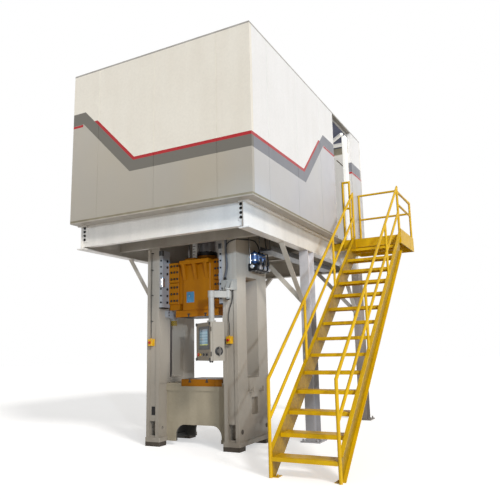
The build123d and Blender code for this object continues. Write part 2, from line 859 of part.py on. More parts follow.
def rear_guard():
    """Plain guard plate on the backs of the rear posts, from behind the slide up to the crown."""
    back = DEPTH_HALF
    return span(-WEB_INSIDE, WEB_INSIDE, back, back + GUARD_THICKNESS, GUARD_BOTTOM, CROWN_BOTTOM)


def ledge_bracket():
    """Bracket on the left post with the slanted foot that carries the striped stop."""
    outer = -INSIDE_X
    inner = outer + LEDGE_THICKNESS
    wedge = outline_of(
        (LEDGE_FRONT, LEDGE_TOP),
        (LEDGE_BACK, LEDGE_TOP),
        (LEDGE_BACK, LEDGE_BOTTOM),
        (STOP_FRONT, LEDGE_BOTTOM),
        (LEDGE_FRONT, LEDGE_BOTTOM + 30),
    )
    body = side_plate(wedge, outer, inner)
    body += span(outer, inner, STOP_FRONT, STOP_BACK, STOP_BOTTOM, LEDGE_BOTTOM)
    return body


def hook_bracket():
    """Holder on the right side: a plate with two upturned hooks."""
    face = PRESS_HALF
    reach = face + HOOK_PLATE + HOOK_REACH
    body = span(face, face + HOOK_PLATE, HOOK_FRONT, HOOK_BACK, HOOK_BOTTOM, HOOK_TOP)
    for y in (HOOK_FRONT, HOOK_BACK - HOOK_ARM):
        hook = outline_of(
            (face + HOOK_PLATE, HOOK_BOTTOM),
            (reach, HOOK_BOTTOM),
            (reach, HOOK_BOTTOM + HOOK_ARM + HOOK_TIP),
            (reach - HOOK_ARM, HOOK_BOTTOM + HOOK_ARM + HOOK_TIP),
            (reach - HOOK_ARM, HOOK_BOTTOM + HOOK_ARM),
            (face + HOOK_PLATE, HOOK_BOTTOM + HOOK_ARM),
        )
        body += front_plate(hook, y, y + HOOK_ARM)
    return body


def valve_manifold():
    """Valve block on the right side frame."""
    face = PRESS_HALF
    body = span(
        face,
        face + MANIFOLD_REACH,
        MANIFOLD_FRONT,
        MANIFOLD_BACK,
        MANIFOLD_BOTTOM,
        MANIFOLD_BOTTOM + MANIFOLD_HEIGHT,
    )
    return chamfer(body.edges().filter_by(Axis.Z), 5)


def accumulators():
    """Upright gas bottles in a row on the valve block."""
    bottles = []
    pitch = (MANIFOLD_BACK - MANIFOLD_FRONT) / ACCUMULATOR_COUNT
    x = PRESS_HALF + MANIFOLD_REACH / 2
    foot = MANIFOLD_BOTTOM + MANIFOLD_HEIGHT
    for number in range(ACCUMULATOR_COUNT):
        y = MANIFOLD_FRONT + pitch * (number + 0.5)
        bottle = upright(x, y, foot, foot + 18, ACCUMULATOR_NECK)
        shell = upright(x, y, foot + 18, ACCUMULATOR_TOP, ACCUMULATOR)
        bottle += fillet(shell.edges().filter_by(GeomType.CIRCLE), ACCUMULATOR * 0.3)
        bottles.append(bottle)
    return Compound(children=bottles)


def stop_box(x):
    """Box of an emergency stop on a post, bored for its button, with a cable gland on top."""
    half = STOP_BOX_WIDTH / 2
    front = WEB_FRONT - STOP_BOX_DEPTH
    low = STOP_BOX_Z - STOP_BOX_HEIGHT / 2
    high = STOP_BOX_Z + STOP_BOX_HEIGHT / 2
    body = span(x - half, x + half, front, WEB_FRONT, low, high)
    body = chamfer(body.faces().sort_by(Axis.Y)[0].edges(), 3)
    body += upright(x, stop_gland_y(), high, high + STOP_GLAND_HEIGHT, STOP_GLAND)
    body -= forward(x, STOP_BOX_Z, front, front + stem_bore(), MUSHROOM_STEM + 2 * RUNNING_FIT)
    return body


def stop_gland_y():
    """Where the gland stands on an emergency stop box."""
    return WEB_FRONT - STOP_BOX_DEPTH / 2


def stem_bore():
    """Depth of the bore for a button's stem."""
    return STEM_LENGTH + BUTTON_TRAVEL + LOOSE_GAP


def mushroom_button():
    """Mushroom button at the origin: it faces -Y and its stem runs along +Y."""
    lift = BUTTON_TRAVEL + LOOSE_GAP
    head = forward(0, 0, -lift - MUSHROOM_HEIGHT, -lift, MUSHROOM)
    head = fillet(head.edges().sort_by(Axis.Y)[0], 5)
    return head + forward(0, 0, -lift - 1, STEM_LENGTH, MUSHROOM_STEM)


def stop_button(x):
    """Mushroom button of an emergency stop box."""
    return Pos(x, WEB_FRONT - STOP_BOX_DEPTH, STOP_BOX_Z) * mushroom_button()


# Pendant


def pendant_bracket():
    """Bracket on the right post with a gusset, an ear and the upright pivot pin."""
    half = BRACKET_WIDTH / 2
    back = -DEPTH_HALF
    plate_front = back - BRACKET_PLATE
    body = span(BRACKET_X - half, BRACKET_X + half, plate_front, back, BRACKET_BOTTOM, BRACKET_TOP)
    ear = Pos(PIVOT_X, PIVOT_Y, BRACKET_BOTTOM) * extrude(Circle(KNUCKLE / 2), amount=BRACKET_EAR)
    ear += span(
        PIVOT_X - KNUCKLE / 2,
        PIVOT_X + KNUCKLE / 2,
        PIVOT_Y,
        plate_front,
        BRACKET_BOTTOM,
        BRACKET_BOTTOM + BRACKET_EAR,
    )
    body += ear
    gusset = outline_of(
        (plate_front, BRACKET_TOP - 10),
        (PIVOT_Y, BRACKET_BOTTOM + BRACKET_EAR),
        (plate_front, BRACKET_BOTTOM + BRACKET_EAR),
    )
    body += side_plate(gusset, PIVOT_X - KNUCKLE / 2, PIVOT_X - KNUCKLE / 2 + BRACKET_PLATE)
    body += side_plate(gusset, PIVOT_X + KNUCKLE / 2 - BRACKET_PLATE, PIVOT_X + KNUCKLE / 2)
    arm_top = ARM_BOTTOM + ARM_HEIGHT
    body += upright(PIVOT_X, PIVOT_Y, ARM_BOTTOM - BRACKET_PLATE, BRACKET_BOTTOM, PIVOT_PIN)
    body += upright(PIVOT_X, PIVOT_Y, arm_top + SLIDING_GAP, BRACKET_BOTTOM, PIVOT_COLLAR)
    body += upright(
        PIVOT_X, PIVOT_Y, ARM_BOTTOM - BRACKET_PLATE, ARM_BOTTOM - SLIDING_GAP, PIVOT_COLLAR
    )
    return body


def arm_place():
    """Place of the arm: its X runs from the pivot towards the drop tube."""
    return Pos(PIVOT_X, PIVOT_Y, 0) * Rot(0, 0, -90 - ARM_ANGLE)


def pendant_arm():
    """Swinging arm with a knuckle at the pivot and a round end over the drop tube."""
    top = ARM_BOTTOM + ARM_HEIGHT
    body = upright(0, 0, ARM_BOTTOM, top, KNUCKLE)
    body += span(0, ARM_LENGTH, -ARM_WIDTH / 2, ARM_WIDTH / 2, ARM_BOTTOM, top)
    body += upright(ARM_LENGTH, 0, ARM_BOTTOM, top, DROP_TUBE + 16)
    body -= upright(0, 0, ARM_BOTTOM, top, PIVOT_PIN + 2 * RUNNING_FIT)
    return arm_place() * body


def drop_tube():
    """Tube under the arm, with the spigot that the box turns on."""
    flange_bottom = BOX_TOP + SWIVEL_HEIGHT + SLIDING_GAP
    body = upright(ARM_LENGTH, 0, flange_bottom, ARM_BOTTOM, DROP_TUBE)
    body += upright(ARM_LENGTH, 0, flange_bottom, flange_bottom + 14, SWIVEL_COLLAR)
    body += upright(ARM_LENGTH, 0, BOX_TOP + LOOSE_GAP, flange_bottom, DROP_TUBE_SPIGOT)
    return arm_place() * body


def box_place():
    """Place of the box: its front faces the local -Y and its origin is on the tube's axis."""
    reach_x = PIVOT_X - ARM_LENGTH * math.sin(math.radians(ARM_ANGLE))
    reach_y = PIVOT_Y - ARM_LENGTH * math.cos(math.radians(ARM_ANGLE))
    return Pos(reach_x, reach_y, 0) * Rot(0, 0, -ARM_ANGLE)


def pendant_box():
    """Control box with its swivel collar and bores for the controls."""
    half = BOX_WIDTH / 2
    body = rounded_span(-half, half, BOX_FRONT, BOX_BACK, BOX_BOTTOM, BOX_TOP, BOX_CORNER)
    body += upright(0, 0, BOX_TOP, BOX_TOP + SWIVEL_HEIGHT, SWIVEL_COLLAR)
    body -= upright(0, 0, BOX_TOP, BOX_TOP + SWIVEL_HEIGHT, DROP_TUBE_SPIGOT + 2 * RUNNING_FIT)
    bores = (
        (STOP_BUTTON_X, MUSHROOM_STEM),
        (YELLOW_BUTTON_X, PUSH_STEM),
        (BLACK_BUTTON_X, PUSH_STEM),
        (SELECTOR_X, PUSH_STEM),
    )
    for x, stem in bores:
        body -= forward(x, CONTROL_Z, BOX_FRONT, BOX_FRONT + stem_bore(), stem + 2 * RUNNING_FIT)
    body -= across(HANDLE_Y, HANDLE_Z, half - stem_bore(), half, HANDLE_STEM + 2 * RUNNING_FIT)
    return box_place() * body


def pendant_screen():
    """Screen bezel on the box with a recessed glass."""
    front = BOX_FRONT - BEZEL_THICKNESS
    body = span(BEZEL_LEFT, BEZEL_RIGHT, front, BOX_FRONT, BEZEL_BOTTOM, BEZEL_TOP)
    body = chamfer(body.faces().sort_by(Axis.Y)[0].edges(), 3)
    body -= span(GLASS_LEFT, GLASS_RIGHT, front, front + GLASS_RECESS, GLASS_BOTTOM, GLASS_TOP)
    return box_place() * body


def pendant_stop_button():
    """Mushroom button on the box."""
    return box_place() * Pos(STOP_BUTTON_X, BOX_FRONT, CONTROL_Z) * mushroom_button()


def push_button(x):
    """Round push button on the box."""
    lift = BUTTON_TRAVEL + LOOSE_GAP
    head = forward(0, 0, -lift - PUSH_BUTTON_HEIGHT, -lift, PUSH_BUTTON)
    head = chamfer(head.edges().sort_by(Axis.Y)[0], 2)
    head += forward(0, 0, -lift - 1, STEM_LENGTH, PUSH_STEM)
    return box_place() * Pos(x, BOX_FRONT, CONTROL_Z) * head


def pendant_selector():
    """Selector switch: a round base that turns with a raised grip."""
    base = forward(0, 0, -SELECTOR_HEIGHT / 2, -SLIDING_GAP, SELECTOR_KNOB)
    grip = span(
        -SELECTOR_GRIP / 2,
        SELECTOR_GRIP / 2,
        -SELECTOR_HEIGHT,
        -SELECTOR_HEIGHT / 2,
        -SELECTOR_KNOB / 2 + 1,
        SELECTOR_KNOB / 2 - 1,
    )
    stem = forward(0, 0, -1, STEM_LENGTH, PUSH_STEM)
    return box_place() * Pos(SELECTOR_X, BOX_FRONT, CONTROL_Z) * (base + grip + stem)


def disconnect_handle():
    """Rotary disconnect on the side of the box: a hub and a lever that stands upright."""
    side = BOX_WIDTH / 2
    hub_out = side + HANDLE_HUB_HEIGHT
    body = across(HANDLE_Y, HANDLE_Z, side + SLIDING_GAP, hub_out, HANDLE_HUB)
    body += across(HANDLE_Y, HANDLE_Z, side - STEM_LENGTH, side + 1, HANDLE_STEM)
    lever = rounded_rectangle(
        HANDLE_Y - HANDLE_WIDTH / 2,
        HANDLE_Y + HANDLE_WIDTH / 2,
        HANDLE_Z - HANDLE_LENGTH / 2,
        HANDLE_Z + HANDLE_LENGTH / 2,
        HANDLE_WIDTH * 0.4,
    )
    body += side_plate(lever, hub_out, hub_out + HANDLE_THICKNESS)
    return box_place() * body


# Raised deck


def beam_face(depth, flange, flange_thickness, web, top):
    """Outline of a rolled I-section, with its top at the given height."""
    low = top - depth
    face = rectangle(-flange / 2, flange / 2, low, low + flange_thickness)
    face += rectangle(-flange / 2, flange / 2, top - flange_thickness, top)
    face += rectangle(-web / 2, web / 2, low, top)
    return face


def side_beams():
    """Two I-beams that run from front to back on the columns."""
    face = beam_face(BEAM_DEPTH, BEAM_FLANGE, BEAM_FLANGE_THICKNESS, BEAM_WEB, DECK_UNDER)
    beams = []
    for x in (COLUMN_LEFT_X, COLUMN_RIGHT_X):
        beams.append(front_plate(Pos(x, 0) * face, SIDE_BEAM_FRONT, SIDE_BEAM_BACK))
    return Compound(children=beams)


def front_beam():
    """Front channel, coped between the side beams, with clip angles at both ends."""
    left = COLUMN_LEFT_X + BEAM_WEB / 2
    right = COLUMN_RIGHT_X - BEAM_WEB / 2
    flange_left = COLUMN_LEFT_X + BEAM_FLANGE / 2
    flange_right = COLUMN_RIGHT_X - BEAM_FLANGE / 2
    low = DECK_UNDER - FRONT_BEAM_DEPTH
    back = FRONT_BEAM_FACE + FRONT_BEAM_WEB
    flange_back = FRONT_BEAM_FACE + FRONT_BEAM_FLANGE
    web_top = DECK_UNDER - BEAM_FLANGE_THICKNESS
    body = span(left, right, FRONT_BEAM_FACE, back, low, web_top)
    body += span(flange_left, flange_right, FRONT_BEAM_FACE, flange_back, low, low + BEAM_FLANGE_THICKNESS)
    body += span(flange_left, flange_right, FRONT_BEAM_FACE, flange_back, web_top, DECK_UNDER)
    for x, way in ((left, 1), (right, -1)):
        front = FRONT_BEAM_FACE - CLIP_THICKNESS
        body += span(x, x + way * CLIP_LEG, front, FRONT_BEAM_FACE, CLIP_BOTTOM, CLIP_TOP)
    return body


def cross_beams():
    """I-beams across the deck at the columns and light joists between them."""
    beams = []
    left = COLUMN_LEFT_X + BEAM_FLANGE / 2
    right = COLUMN_RIGHT_X - BEAM_FLANGE / 2
    heavy = beam_face(BEAM_DEPTH, BEAM_FLANGE, BEAM_FLANGE_THICKNESS, BEAM_WEB, DECK_UNDER)
    light = beam_face(JOIST_DEPTH, JOIST_FLANGE, JOIST_THICKNESS, JOIST_THICKNESS, DECK_UNDER)
    for y in (COLUMN_FRONT_Y, COLUMN_REAR_Y):
        beams.append(side_plate(Pos(y, 0) * heavy, left, right))
    places = (
        (FRONT_BEAM_FACE + header_front()) / 2,
        COLUMN_FRONT_Y + (COLUMN_REAR_Y - COLUMN_FRONT_Y) / 3,
        COLUMN_FRONT_Y + (COLUMN_REAR_Y - COLUMN_FRONT_Y) * 2 / 3,
    )
    for y in places:
        beams.append(side_plate(Pos(y, 0) * light, left, right))
    beams.append(header(left, right))
    return Compound(children=beams)


def header_front():
    """Front face of the header that trims the deck in front of the press."""
    return -DEPTH_HALF - DECK_HOLE_MARGIN - JOIST_FLANGE - HEADER_THICKNESS


def header(left, right):
    """Channel across the deck in front of the press, with its flat web to the front."""
    low = DECK_UNDER - HEADER_DEPTH
    front = header_front()
    back = front + HEADER_FLANGE
    body = span(left, right, front, front + HEADER_THICKNESS, low, DECK_UNDER)
    body += span(left, right, front, back, low, low + HEADER_THICKNESS)
    body += span(left, right, front, back, DECK_UNDER - HEADER_THICKNESS, DECK_UNDER)
    return body


def deck():
    """Deck plate with the opening for the press."""
    margin = DECK_HOLE_MARGIN
    body = span(DECK_LEFT, DECK_RIGHT, DECK_FRONT, DECK_BACK, DECK_UNDER, DECK_TOP)
    body -= span(
        -PRESS_HALF - margin,
        PRESS_HALF + margin,
        -DEPTH_HALF - margin,
        DEPTH_HALF + margin,
        DECK_UNDER,
        DECK_TOP,
    )
    return body


def column(x, y):
    """One wide-flange column on its base plate, with four anchors."""
    half = COLUMN_DEPTH / 2
    face = rectangle(-COLUMN_FLANGE / 2, COLUMN_FLANGE / 2, -half, -half + COLUMN_FLANGE_THICKNESS)
    face += rectangle(-COLUMN_FLANGE / 2, COLUMN_FLANGE / 2, half - COLUMN_FLANGE_THICKNESS, half)
    face += rectangle(-COLUMN_WEB / 2, COLUMN_WEB / 2, -half, half)
    body = Pos(0, 0, BASE_PLATE) * extrude(face, amount=BEAM_BOTTOM - BASE_PLATE)
    body += Pos(0, 0, BASE_PLATE / 2) * Box(BASE_PLATE_WIDTH, BASE_PLATE_DEPTH, BASE_PLATE)
    for side in (-1, 1):
        for way in (-1, 1):
            anchor_x = side * (BASE_PLATE_WIDTH / 2 - ANCHOR_INSET)
            anchor_y = way * (BASE_PLATE_DEPTH / 2 - ANCHOR_INSET / 2)
            body += upright(anchor_x, anchor_y, BASE_PLATE, BASE_PLATE + ANCHOR_HEIGHT, ANCHOR)
    return Pos(x, y, 0) * body


def columns(y):
    """The two columns at one depth."""
    return Compound(children=[column(COLUMN_LEFT_X, y), column(COLUMN_RIGHT_X, y)])


def brace(foot, foot_z, head_z):
    """An angle iron in its own plane: A runs out from the post, B is up, with its foot at A = foot."""
    slope = math.tan(math.radians(BRACE_ANGLE))
    lift = BRACE_LEG / math.cos(math.radians(BRACE_ANGLE))
    reach = foot + (head_z - foot_z) / slope
    lip = BRACE_THICKNESS / math.cos(math.radians(BRACE_ANGLE))
    leg = outline_of(
        (foot, foot_z),
        (reach, head_z),
        (reach - lift / slope, head_z),
        (foot, foot_z + lift),
    )
    edge = outline_of(
        (foot, foot_z),
        (reach, head_z),
        (reach - lip / slope, head_z),
        (foot, foot_z + lip),
    )
    return leg, edge


def knee_braces():
    """Angle-iron braces between the columns and the beams."""
    braces = []
    for x in (COLUMN_LEFT_X, COLUMN_RIGHT_X):
        for y in (COLUMN_FRONT_Y, COLUMN_REAR_Y):
            leg, edge = brace(COLUMN_DEPTH / 2, BRACE_FOOT_Z, BEAM_BOTTOM)
            piece = side_plate(leg, 0, BRACE_THICKNESS) + side_plate(edge, 0, BRACE_LEG)
            piece = mirror(piece, about=Plane.XZ)
            braces.append(Pos(x - BRACE_LEG / 2, y, 0) * piece)
    for y in (COLUMN_FRONT_Y, COLUMN_REAR_Y):
        for x, way in ((COLUMN_LEFT_X, 1), (COLUMN_RIGHT_X, -1)):
            leg, edge = brace(COLUMN_WEB / 2, BRACE_FOOT_Z, BEAM_BOTTOM)
            piece = front_plate(leg, 0, BRACE_THICKNESS) + front_plate(edge, 0, BRACE_LEG)
            if way < 0:
                piece = mirror(piece, about=Plane.YZ)
            braces.append(Pos(x, y - BRACE_LEG / 2, 0) * piece)
    return Compound(children=braces)


def cable_tray():
    """Cable tray hung under the deck on pairs of rods."""
    half = TRAY_WIDTH / 2
    top = TRAY_BOTTOM + TRAY_HEIGHT
    body = span(TRAY_X - half, TRAY_X + half, TRAY_FRONT, TRAY_BACK, TRAY_BOTTOM, top)
    inner = half - TRAY_WALL
    floor = TRAY_BOTTOM + TRAY_WALL
    body -= span(TRAY_X - inner, TRAY_X + inner, TRAY_FRONT, TRAY_BACK, floor, top)
    step = (TRAY_BACK - TRAY_FRONT) / TRAY_HANGERS
    for number in range(TRAY_HANGERS):
        y = TRAY_FRONT + step * (number + 0.35)
        for side in (-1, 1):
            x = TRAY_X + side * (half - TRAY_WALL - TRAY_ROD)
            body += upright(x, y, floor, DECK_UNDER, TRAY_ROD)
    return body


# Enclosure


def seams(start, end, low, high):
    """Places of the panel seams along a wall."""
    places = []
    place = start + FIRST_SEAM
    while place < end - SEAM_WIDTH:
        places.append(rectangle(place - SEAM_WIDTH / 2, place + SEAM_WIDTH / 2, low, high))
        place += PANEL_WIDTH
    return places


def wall_front():
    """Front wall with its upright panel seams."""
    top = WALL_TOP - CAP_HEIGHT
    body = span(DECK_LEFT, DECK_RIGHT, DECK_FRONT, DECK_FRONT + WALL, DECK_TOP, top)
    for seam in seams(DECK_LEFT, DECK_RIGHT, DECK_TOP, top):
        body -= front_plate(seam, DECK_FRONT, DECK_FRONT + SEAM_DEPTH)
    return body


def side_wall(x_outer, way, y_from, y_to):
    """A side wall or a length of one, with its upright panel seams."""
    top = WALL_TOP - CAP_HEIGHT
    body = span(x_outer, x_outer + way * WALL, y_from, y_to, DECK_TOP, top)
    for seam in seams(DECK_FRONT, DECK_BACK, DECK_TOP, top):
        cut_from = min(x_outer, x_outer + way * SEAM_DEPTH)
        body -= side_plate(seam, cut_from, cut_from + SEAM_DEPTH)
    return body


def wall_left():
    """Left wall."""
    return side_wall(DECK_LEFT, 1, DECK_FRONT + WALL, DECK_BACK - WALL)


def wall_right():
    """Right wall on both sides of the full-height doorway."""
    front = side_wall(DECK_RIGHT, -1, DECK_FRONT + WALL, DOORWAY_FRONT)
    back = side_wall(DECK_RIGHT, -1, DOORWAY_BACK, DECK_BACK - WALL)
    return Compound(children=[front, back])


def wall_rear():
    """Rear wall."""
    return span(DECK_LEFT, DECK_RIGHT, DECK_BACK - WALL, DECK_BACK, DECK_TOP, WALL_TOP - CAP_HEIGHT)


def roof():
    """Roof panel between the walls and the cap that runs round their tops."""
    cap_bottom = WALL_TOP - CAP_HEIGHT
    body = span(DECK_LEFT, DECK_RIGHT, DECK_FRONT, DECK_BACK, cap_bottom, WALL_TOP)
    body += span(
        DECK_LEFT + WALL,
        DECK_RIGHT - WALL,
        DECK_FRONT + WALL,
        DECK_BACK - WALL,
        cap_bottom - ROOF,
        cap_bottom,
    )
    return body


def hydraulic_unit():
    """Oil tank with a motor on top, behind the crown."""
    half = TANK_LENGTH / 2
    foot_top = DECK_TOP + TANK_FOOT
    tank_top = foot_top + TANK_HEIGHT
    body = rounded_span(-half, half, TANK_Y, TANK_Y + TANK_DEPTH, foot_top, tank_top, 40)
    for side in (-1, 1):
        body += span(
            side * half * 0.8, side * half * 0.6, TANK_Y, TANK_Y + TANK_DEPTH, DECK_TOP, foot_top
        )
    middle = TANK_Y + TANK_DEPTH / 2
    axis_z = tank_top + MOTOR / 2 + 30
    body += across(middle, axis_z, -MOTOR_LENGTH / 2, MOTOR_LENGTH / 2, MOTOR)
    body += span(-MOTOR_FEET, MOTOR_FEET, middle - MOTOR_FEET, middle + MOTOR_FEET, tank_top, axis_z)
    return body


# Stair and landing


def nosing_z(y):
    """Height of the line through the tread noses at a depth."""
    return DECK_TOP + (y - STAIR_END) * STAIR_SLOPE


def stringer(side):
    """One channel stringer, cut level at the floor and upright at both ends, with its foot clip."""
    front = FOOT_POST_Y + RAIL_TUBE / 2
    back = STAIR_END
    floor_y = back + (STRINGER_BELOW - DECK_TOP) / STAIR_SLOPE
    lift = STRINGER_THICKNESS / math.cos(math.atan(STAIR_SLOPE))

    def above(y, shift):
        return (y, nosing_z(y) + shift)

    outline = outline_of(
        (front, 0),
        (floor_y, 0),
        above(back, -STRINGER_BELOW),
        above(back, STRINGER_ABOVE),
        above(front, STRINGER_ABOVE),
    )
    top_flange = outline_of(
        above(front, STRINGER_ABOVE - lift),
        above(back, STRINGER_ABOVE - lift),
        above(back, STRINGER_ABOVE),
        above(front, STRINGER_ABOVE),
    )
    low_front = back + (STRINGER_BELOW - lift - DECK_TOP) / STAIR_SLOPE
    low_flange = outline_of(
        (floor_y, 0),
        above(back, -STRINGER_BELOW),
        above(back, -STRINGER_BELOW + lift),
        (low_front, 0),
    )
    face = STAIR_RIGHT if side > 0 else STAIR_LEFT
    if side > 0:
        web = (face, face + STRINGER_THICKNESS)
        flange = (face, face + STRINGER_FLANGE)
        clip = (face - FOOT_CLIP, face)
    else:
        web = (face - STRINGER_THICKNESS, face)
        flange = (face - STRINGER_FLANGE, face)
        clip = (face, face + FOOT_CLIP)
    body = side_plate(outline, *web)
    body += side_plate(top_flange, *flange)
    body += side_plate(low_flange, *flange)
    plate = span(*clip, front, front + FOOT_CLIP_DEPTH, 0, FOOT_CLIP_PLATE)
    bolt_x = (clip[0] + clip[1]) / 2
    plate += upright(bolt_x, front + FOOT_CLIP_DEPTH / 2, FOOT_CLIP_PLATE, FOOT_CLIP_PLATE + 16, 22)
    return body + plate


def stair_treads():
    """Folded pan treads between the stringers, one at each riser below the landing."""
    lip = TREAD_LIP
    plate = TREAD_PLATE
    profile = outline_of(
        (0, -lip),
        (plate, -lip),
        (plate, -plate),
        (TREAD_DEPTH - plate, -plate),
        (TREAD_DEPTH - plate, -lip),
        (TREAD_DEPTH, -lip),
        (TREAD_DEPTH, 0),
        (0, 0),
    )
    treads = []
    for number in range(1, RISER_COUNT):
        nose = STAIR_END - (RISER_COUNT - number) * GOING
        treads.append(side_plate(Pos(nose, number * RISER) * profile, STAIR_LEFT, STAIR_RIGHT))
    return Compound(children=treads)


def stair_rail(x, posts):
    """Handrail on one side: foot post, sloped rails and the posts between."""
    foot = FOOT_POST_Y
    top_y = STAIR_END + RAIL_TUBE / 2
    rail_slope = (DECK_TOP + TOP_POST_HEIGHT - FOOT_POST_HEIGHT) / (top_y - foot)

    def rail_z(y):
        return FOOT_POST_HEIGHT + (y - foot) * rail_slope

    path = Polyline(
        (x, foot, 0),
        (x, foot, FOOT_POST_HEIGHT),
        (x, top_y, rail_z(top_y)),
        (x, top_y, DECK_TOP),
    )
    start = Plane(origin=(x, foot, 0), z_dir=(0, 0, 1))
    body = sweep(start * Circle(RAIL_TUBE / 2), path=path, transition=Transition.RIGHT)
    body += bar(
        (x, foot, rail_z(foot) - MID_RAIL_DROP), (x, top_y, rail_z(top_y) - MID_RAIL_DROP), RAIL_TUBE * 0.98
    )
    for along in posts:
        y = foot + along
        post = upright(x, y, nosing_z(y) + STRINGER_ABOVE - RAIL_TUBE, rail_z(y), RAIL_TUBE * 0.96)
        body += post - stringer_clearance(x)
    return body


def stringer_clearance(x):
    """Everything under the top face of the stringers, to cut the feet of the posts to the slope."""
    low = outline_of(
        (FOOT_POST_Y, -STRINGER_BELOW),
        (STAIR_END, -STRINGER_BELOW),
        (STAIR_END, nosing_z(STAIR_END) + STRINGER_ABOVE),
        (FOOT_POST_Y, nosing_z(FOOT_POST_Y) + STRINGER_ABOVE),
    )
    return side_plate(low, x - RAIL_TUBE, x + RAIL_TUBE)


def stair_rails():
    """Handrails on both sides of the stair."""
    left = stair_rail(RAIL_LEFT_X, LEFT_POSTS)
    right = stair_rail(RAIL_RIGHT_X, RIGHT_POSTS)
    return Compound(children=[left, right])


def landing():
    """Landing frame of channels with its floor plate, toe boards and outriggers to the side beam."""
    low = DECK_TOP - FASCIA
    edge = FASCIA_THICKNESS
    left = LANDING_LEFT
    right = LANDING_RIGHT
    front = STAIR_END
    back = LANDING_BACK
    body = span(left, right, front, back, DECK_TOP - LANDING_PLATE, DECK_TOP)
    body += span(left, right, front, front + edge, low, DECK_TOP)
    body += span(left, right, back - edge, back, low, DECK_TOP)
    body += span(right - edge, right, front, back, low, DECK_TOP)
    body += span(left, left + edge, front, back, low, DECK_TOP)
    for share in (1 / 3, 2 / 3):
        y = front + (back - front) * share
        body += span(left, right, y - edge / 2, y + edge / 2, low + edge, DECK_TOP)
    body += span(right - TOE_PLATE, right, front, back, DECK_TOP, DECK_TOP + TOE_BOARD)
    body += span(left, right, back - TOE_PLATE, back, DECK_TOP, DECK_TOP + TOE_BOARD)
    beam_face_x = COLUMN_RIGHT_X + BEAM_WEB / 2
    for y in (front + OUTRIGGER, back - 2 * OUTRIGGER):
        body += span(beam_face_x, left, y, y + OUTRIGGER, low, DECK_UNDER - BEAM_FLANGE_THICKNESS)
    return body


def guard_post(x, y, height):
    """One guard post on the landing."""
    return upright(x, y, DECK_TOP, DECK_TOP + height, RAIL_TUBE)


def landing_guard():
    """Guard rails of the landing: a hoop beside the stair, a sloped back guard and a side guard."""
    inset = RAIL_TUBE / 2
    front = STAIR_END + inset
    back = LANDING_BACK - TOE_PLATE - inset
    right = RAIL_RIGHT_X
    top = DECK_TOP + GUARD_HEIGHT
    middle = DECK_TOP + GUARD_MID
    level_end = HOOP_LEFT + (right - HOOP_LEFT) * BACK_GUARD_LEVEL
    hoop_path = Polyline(
        (HOOP_LEFT, front, DECK_TOP),
        (HOOP_LEFT, front, top),
        (HOOP_RIGHT, front, top),
        (HOOP_RIGHT, front, DECK_TOP),
    )
    start = Plane(origin=(HOOP_LEFT, front, DECK_TOP), z_dir=(0, 0, 1))
    hoop = sweep(start * Circle(inset), path=hoop_path, transition=Transition.RIGHT)
    hoop += bar((HOOP_LEFT, front, middle), (HOOP_RIGHT, front, middle), RAIL_TUBE * 0.96)
    back_path = Polyline(
        (HOOP_LEFT, back, DECK_TOP),
        (HOOP_LEFT, back, top),
        (level_end, back, top),
        (right, back, DECK_TOP + SIDE_GUARD_HEIGHT),
        (right, back, DECK_TOP),
    )
    start = Plane(origin=(HOOP_LEFT, back, DECK_TOP), z_dir=(0, 0, 1))
    frame = sweep(start * Circle(inset), path=back_path, transition=Transition.RIGHT)
    frame += bar((HOOP_LEFT, back, middle), (right, back, middle), RAIL_TUBE * 0.96)
    for height in (SIDE_GUARD_HEIGHT, SIDE_GUARD_MID):
        rail_z = DECK_TOP + height - inset
        frame += bar((right, front + inset + SLIDING_GAP, rail_z), (right, back, rail_z), RAIL_TUBE * 0.94)
    return Compound(children=[hoop, frame])


# Cables and hoses


def cord_tube(points, diameter, name):
    """A tube of straight runs joined by arcs, each arc as large as its two runs allow."""
    vectors = [Vector(*point) for point in points]
    radii = []
    for before, here, after in zip(vectors, vectors[1:], vectors[2:]):
        come = here - before
        leave = after - here
        turn = math.radians(come.get_angle(leave))
        radii.append(0.45 * min(come.length, leave.length) / math.tan(turn / 2))
    print(name, "radii", [round(radius) for radius in radii])
    path = FilletPolyline(*points, radius=radii)
    start = Plane(origin=vectors[0], z_dir=vectors[1] - vectors[0])
    return sweep(start * Circle(diameter / 2), path=path)


def stop_cable_right():
    """Cable that hangs from the pendant bracket to the right emergency stop box."""
    gland_top = STOP_BOX_Z + STOP_BOX_HEIGHT / 2 + STOP_GLAND_HEIGHT
    x = STOP_BOX_RIGHT_X
    y = stop_gland_y()
    route = [
        (x + 59.0, y + 13.0, BRACKET_BOTTOM),
        (x + 59.0, y + 13.0, 2140.0),
        (x + 36.0, y + 10.0, 2035.0),
        (x - 6.0, y + 6.0, 1930.0),
        (x - 18.0, y + 5.0, 1820.0),
        (x + 2.0, y + 3.0, 1730.0),
        (x, y, 1650.0),
        (x, y, gland_top),
    ]
    return cord_tube(route, STOP_CABLE, "stop_cable_right")


def stop_cable_left():
    """Straight cable clipped up the left post from the emergency stop box."""
    gland_top = STOP_BOX_Z + STOP_BOX_HEIGHT / 2 + STOP_GLAND_HEIGHT
    body = upright(STOP_BOX_LEFT_X, stop_gland_y(), gland_top, LEFT_CABLE_TOP, LEFT_CABLE)
    for share in (0.2, 0.5, 0.8, 1.0):
        z = gland_top + (LEFT_CABLE_TOP - gland_top) * share - CABLE_CLIP
        body += span(
            STOP_BOX_LEFT_X - LEFT_CABLE,
            STOP_BOX_LEFT_X + LEFT_CABLE,
            stop_gland_y() - LEFT_CABLE,
            WEB_FRONT,
            z,
            z + CABLE_CLIP,
        )
    return body


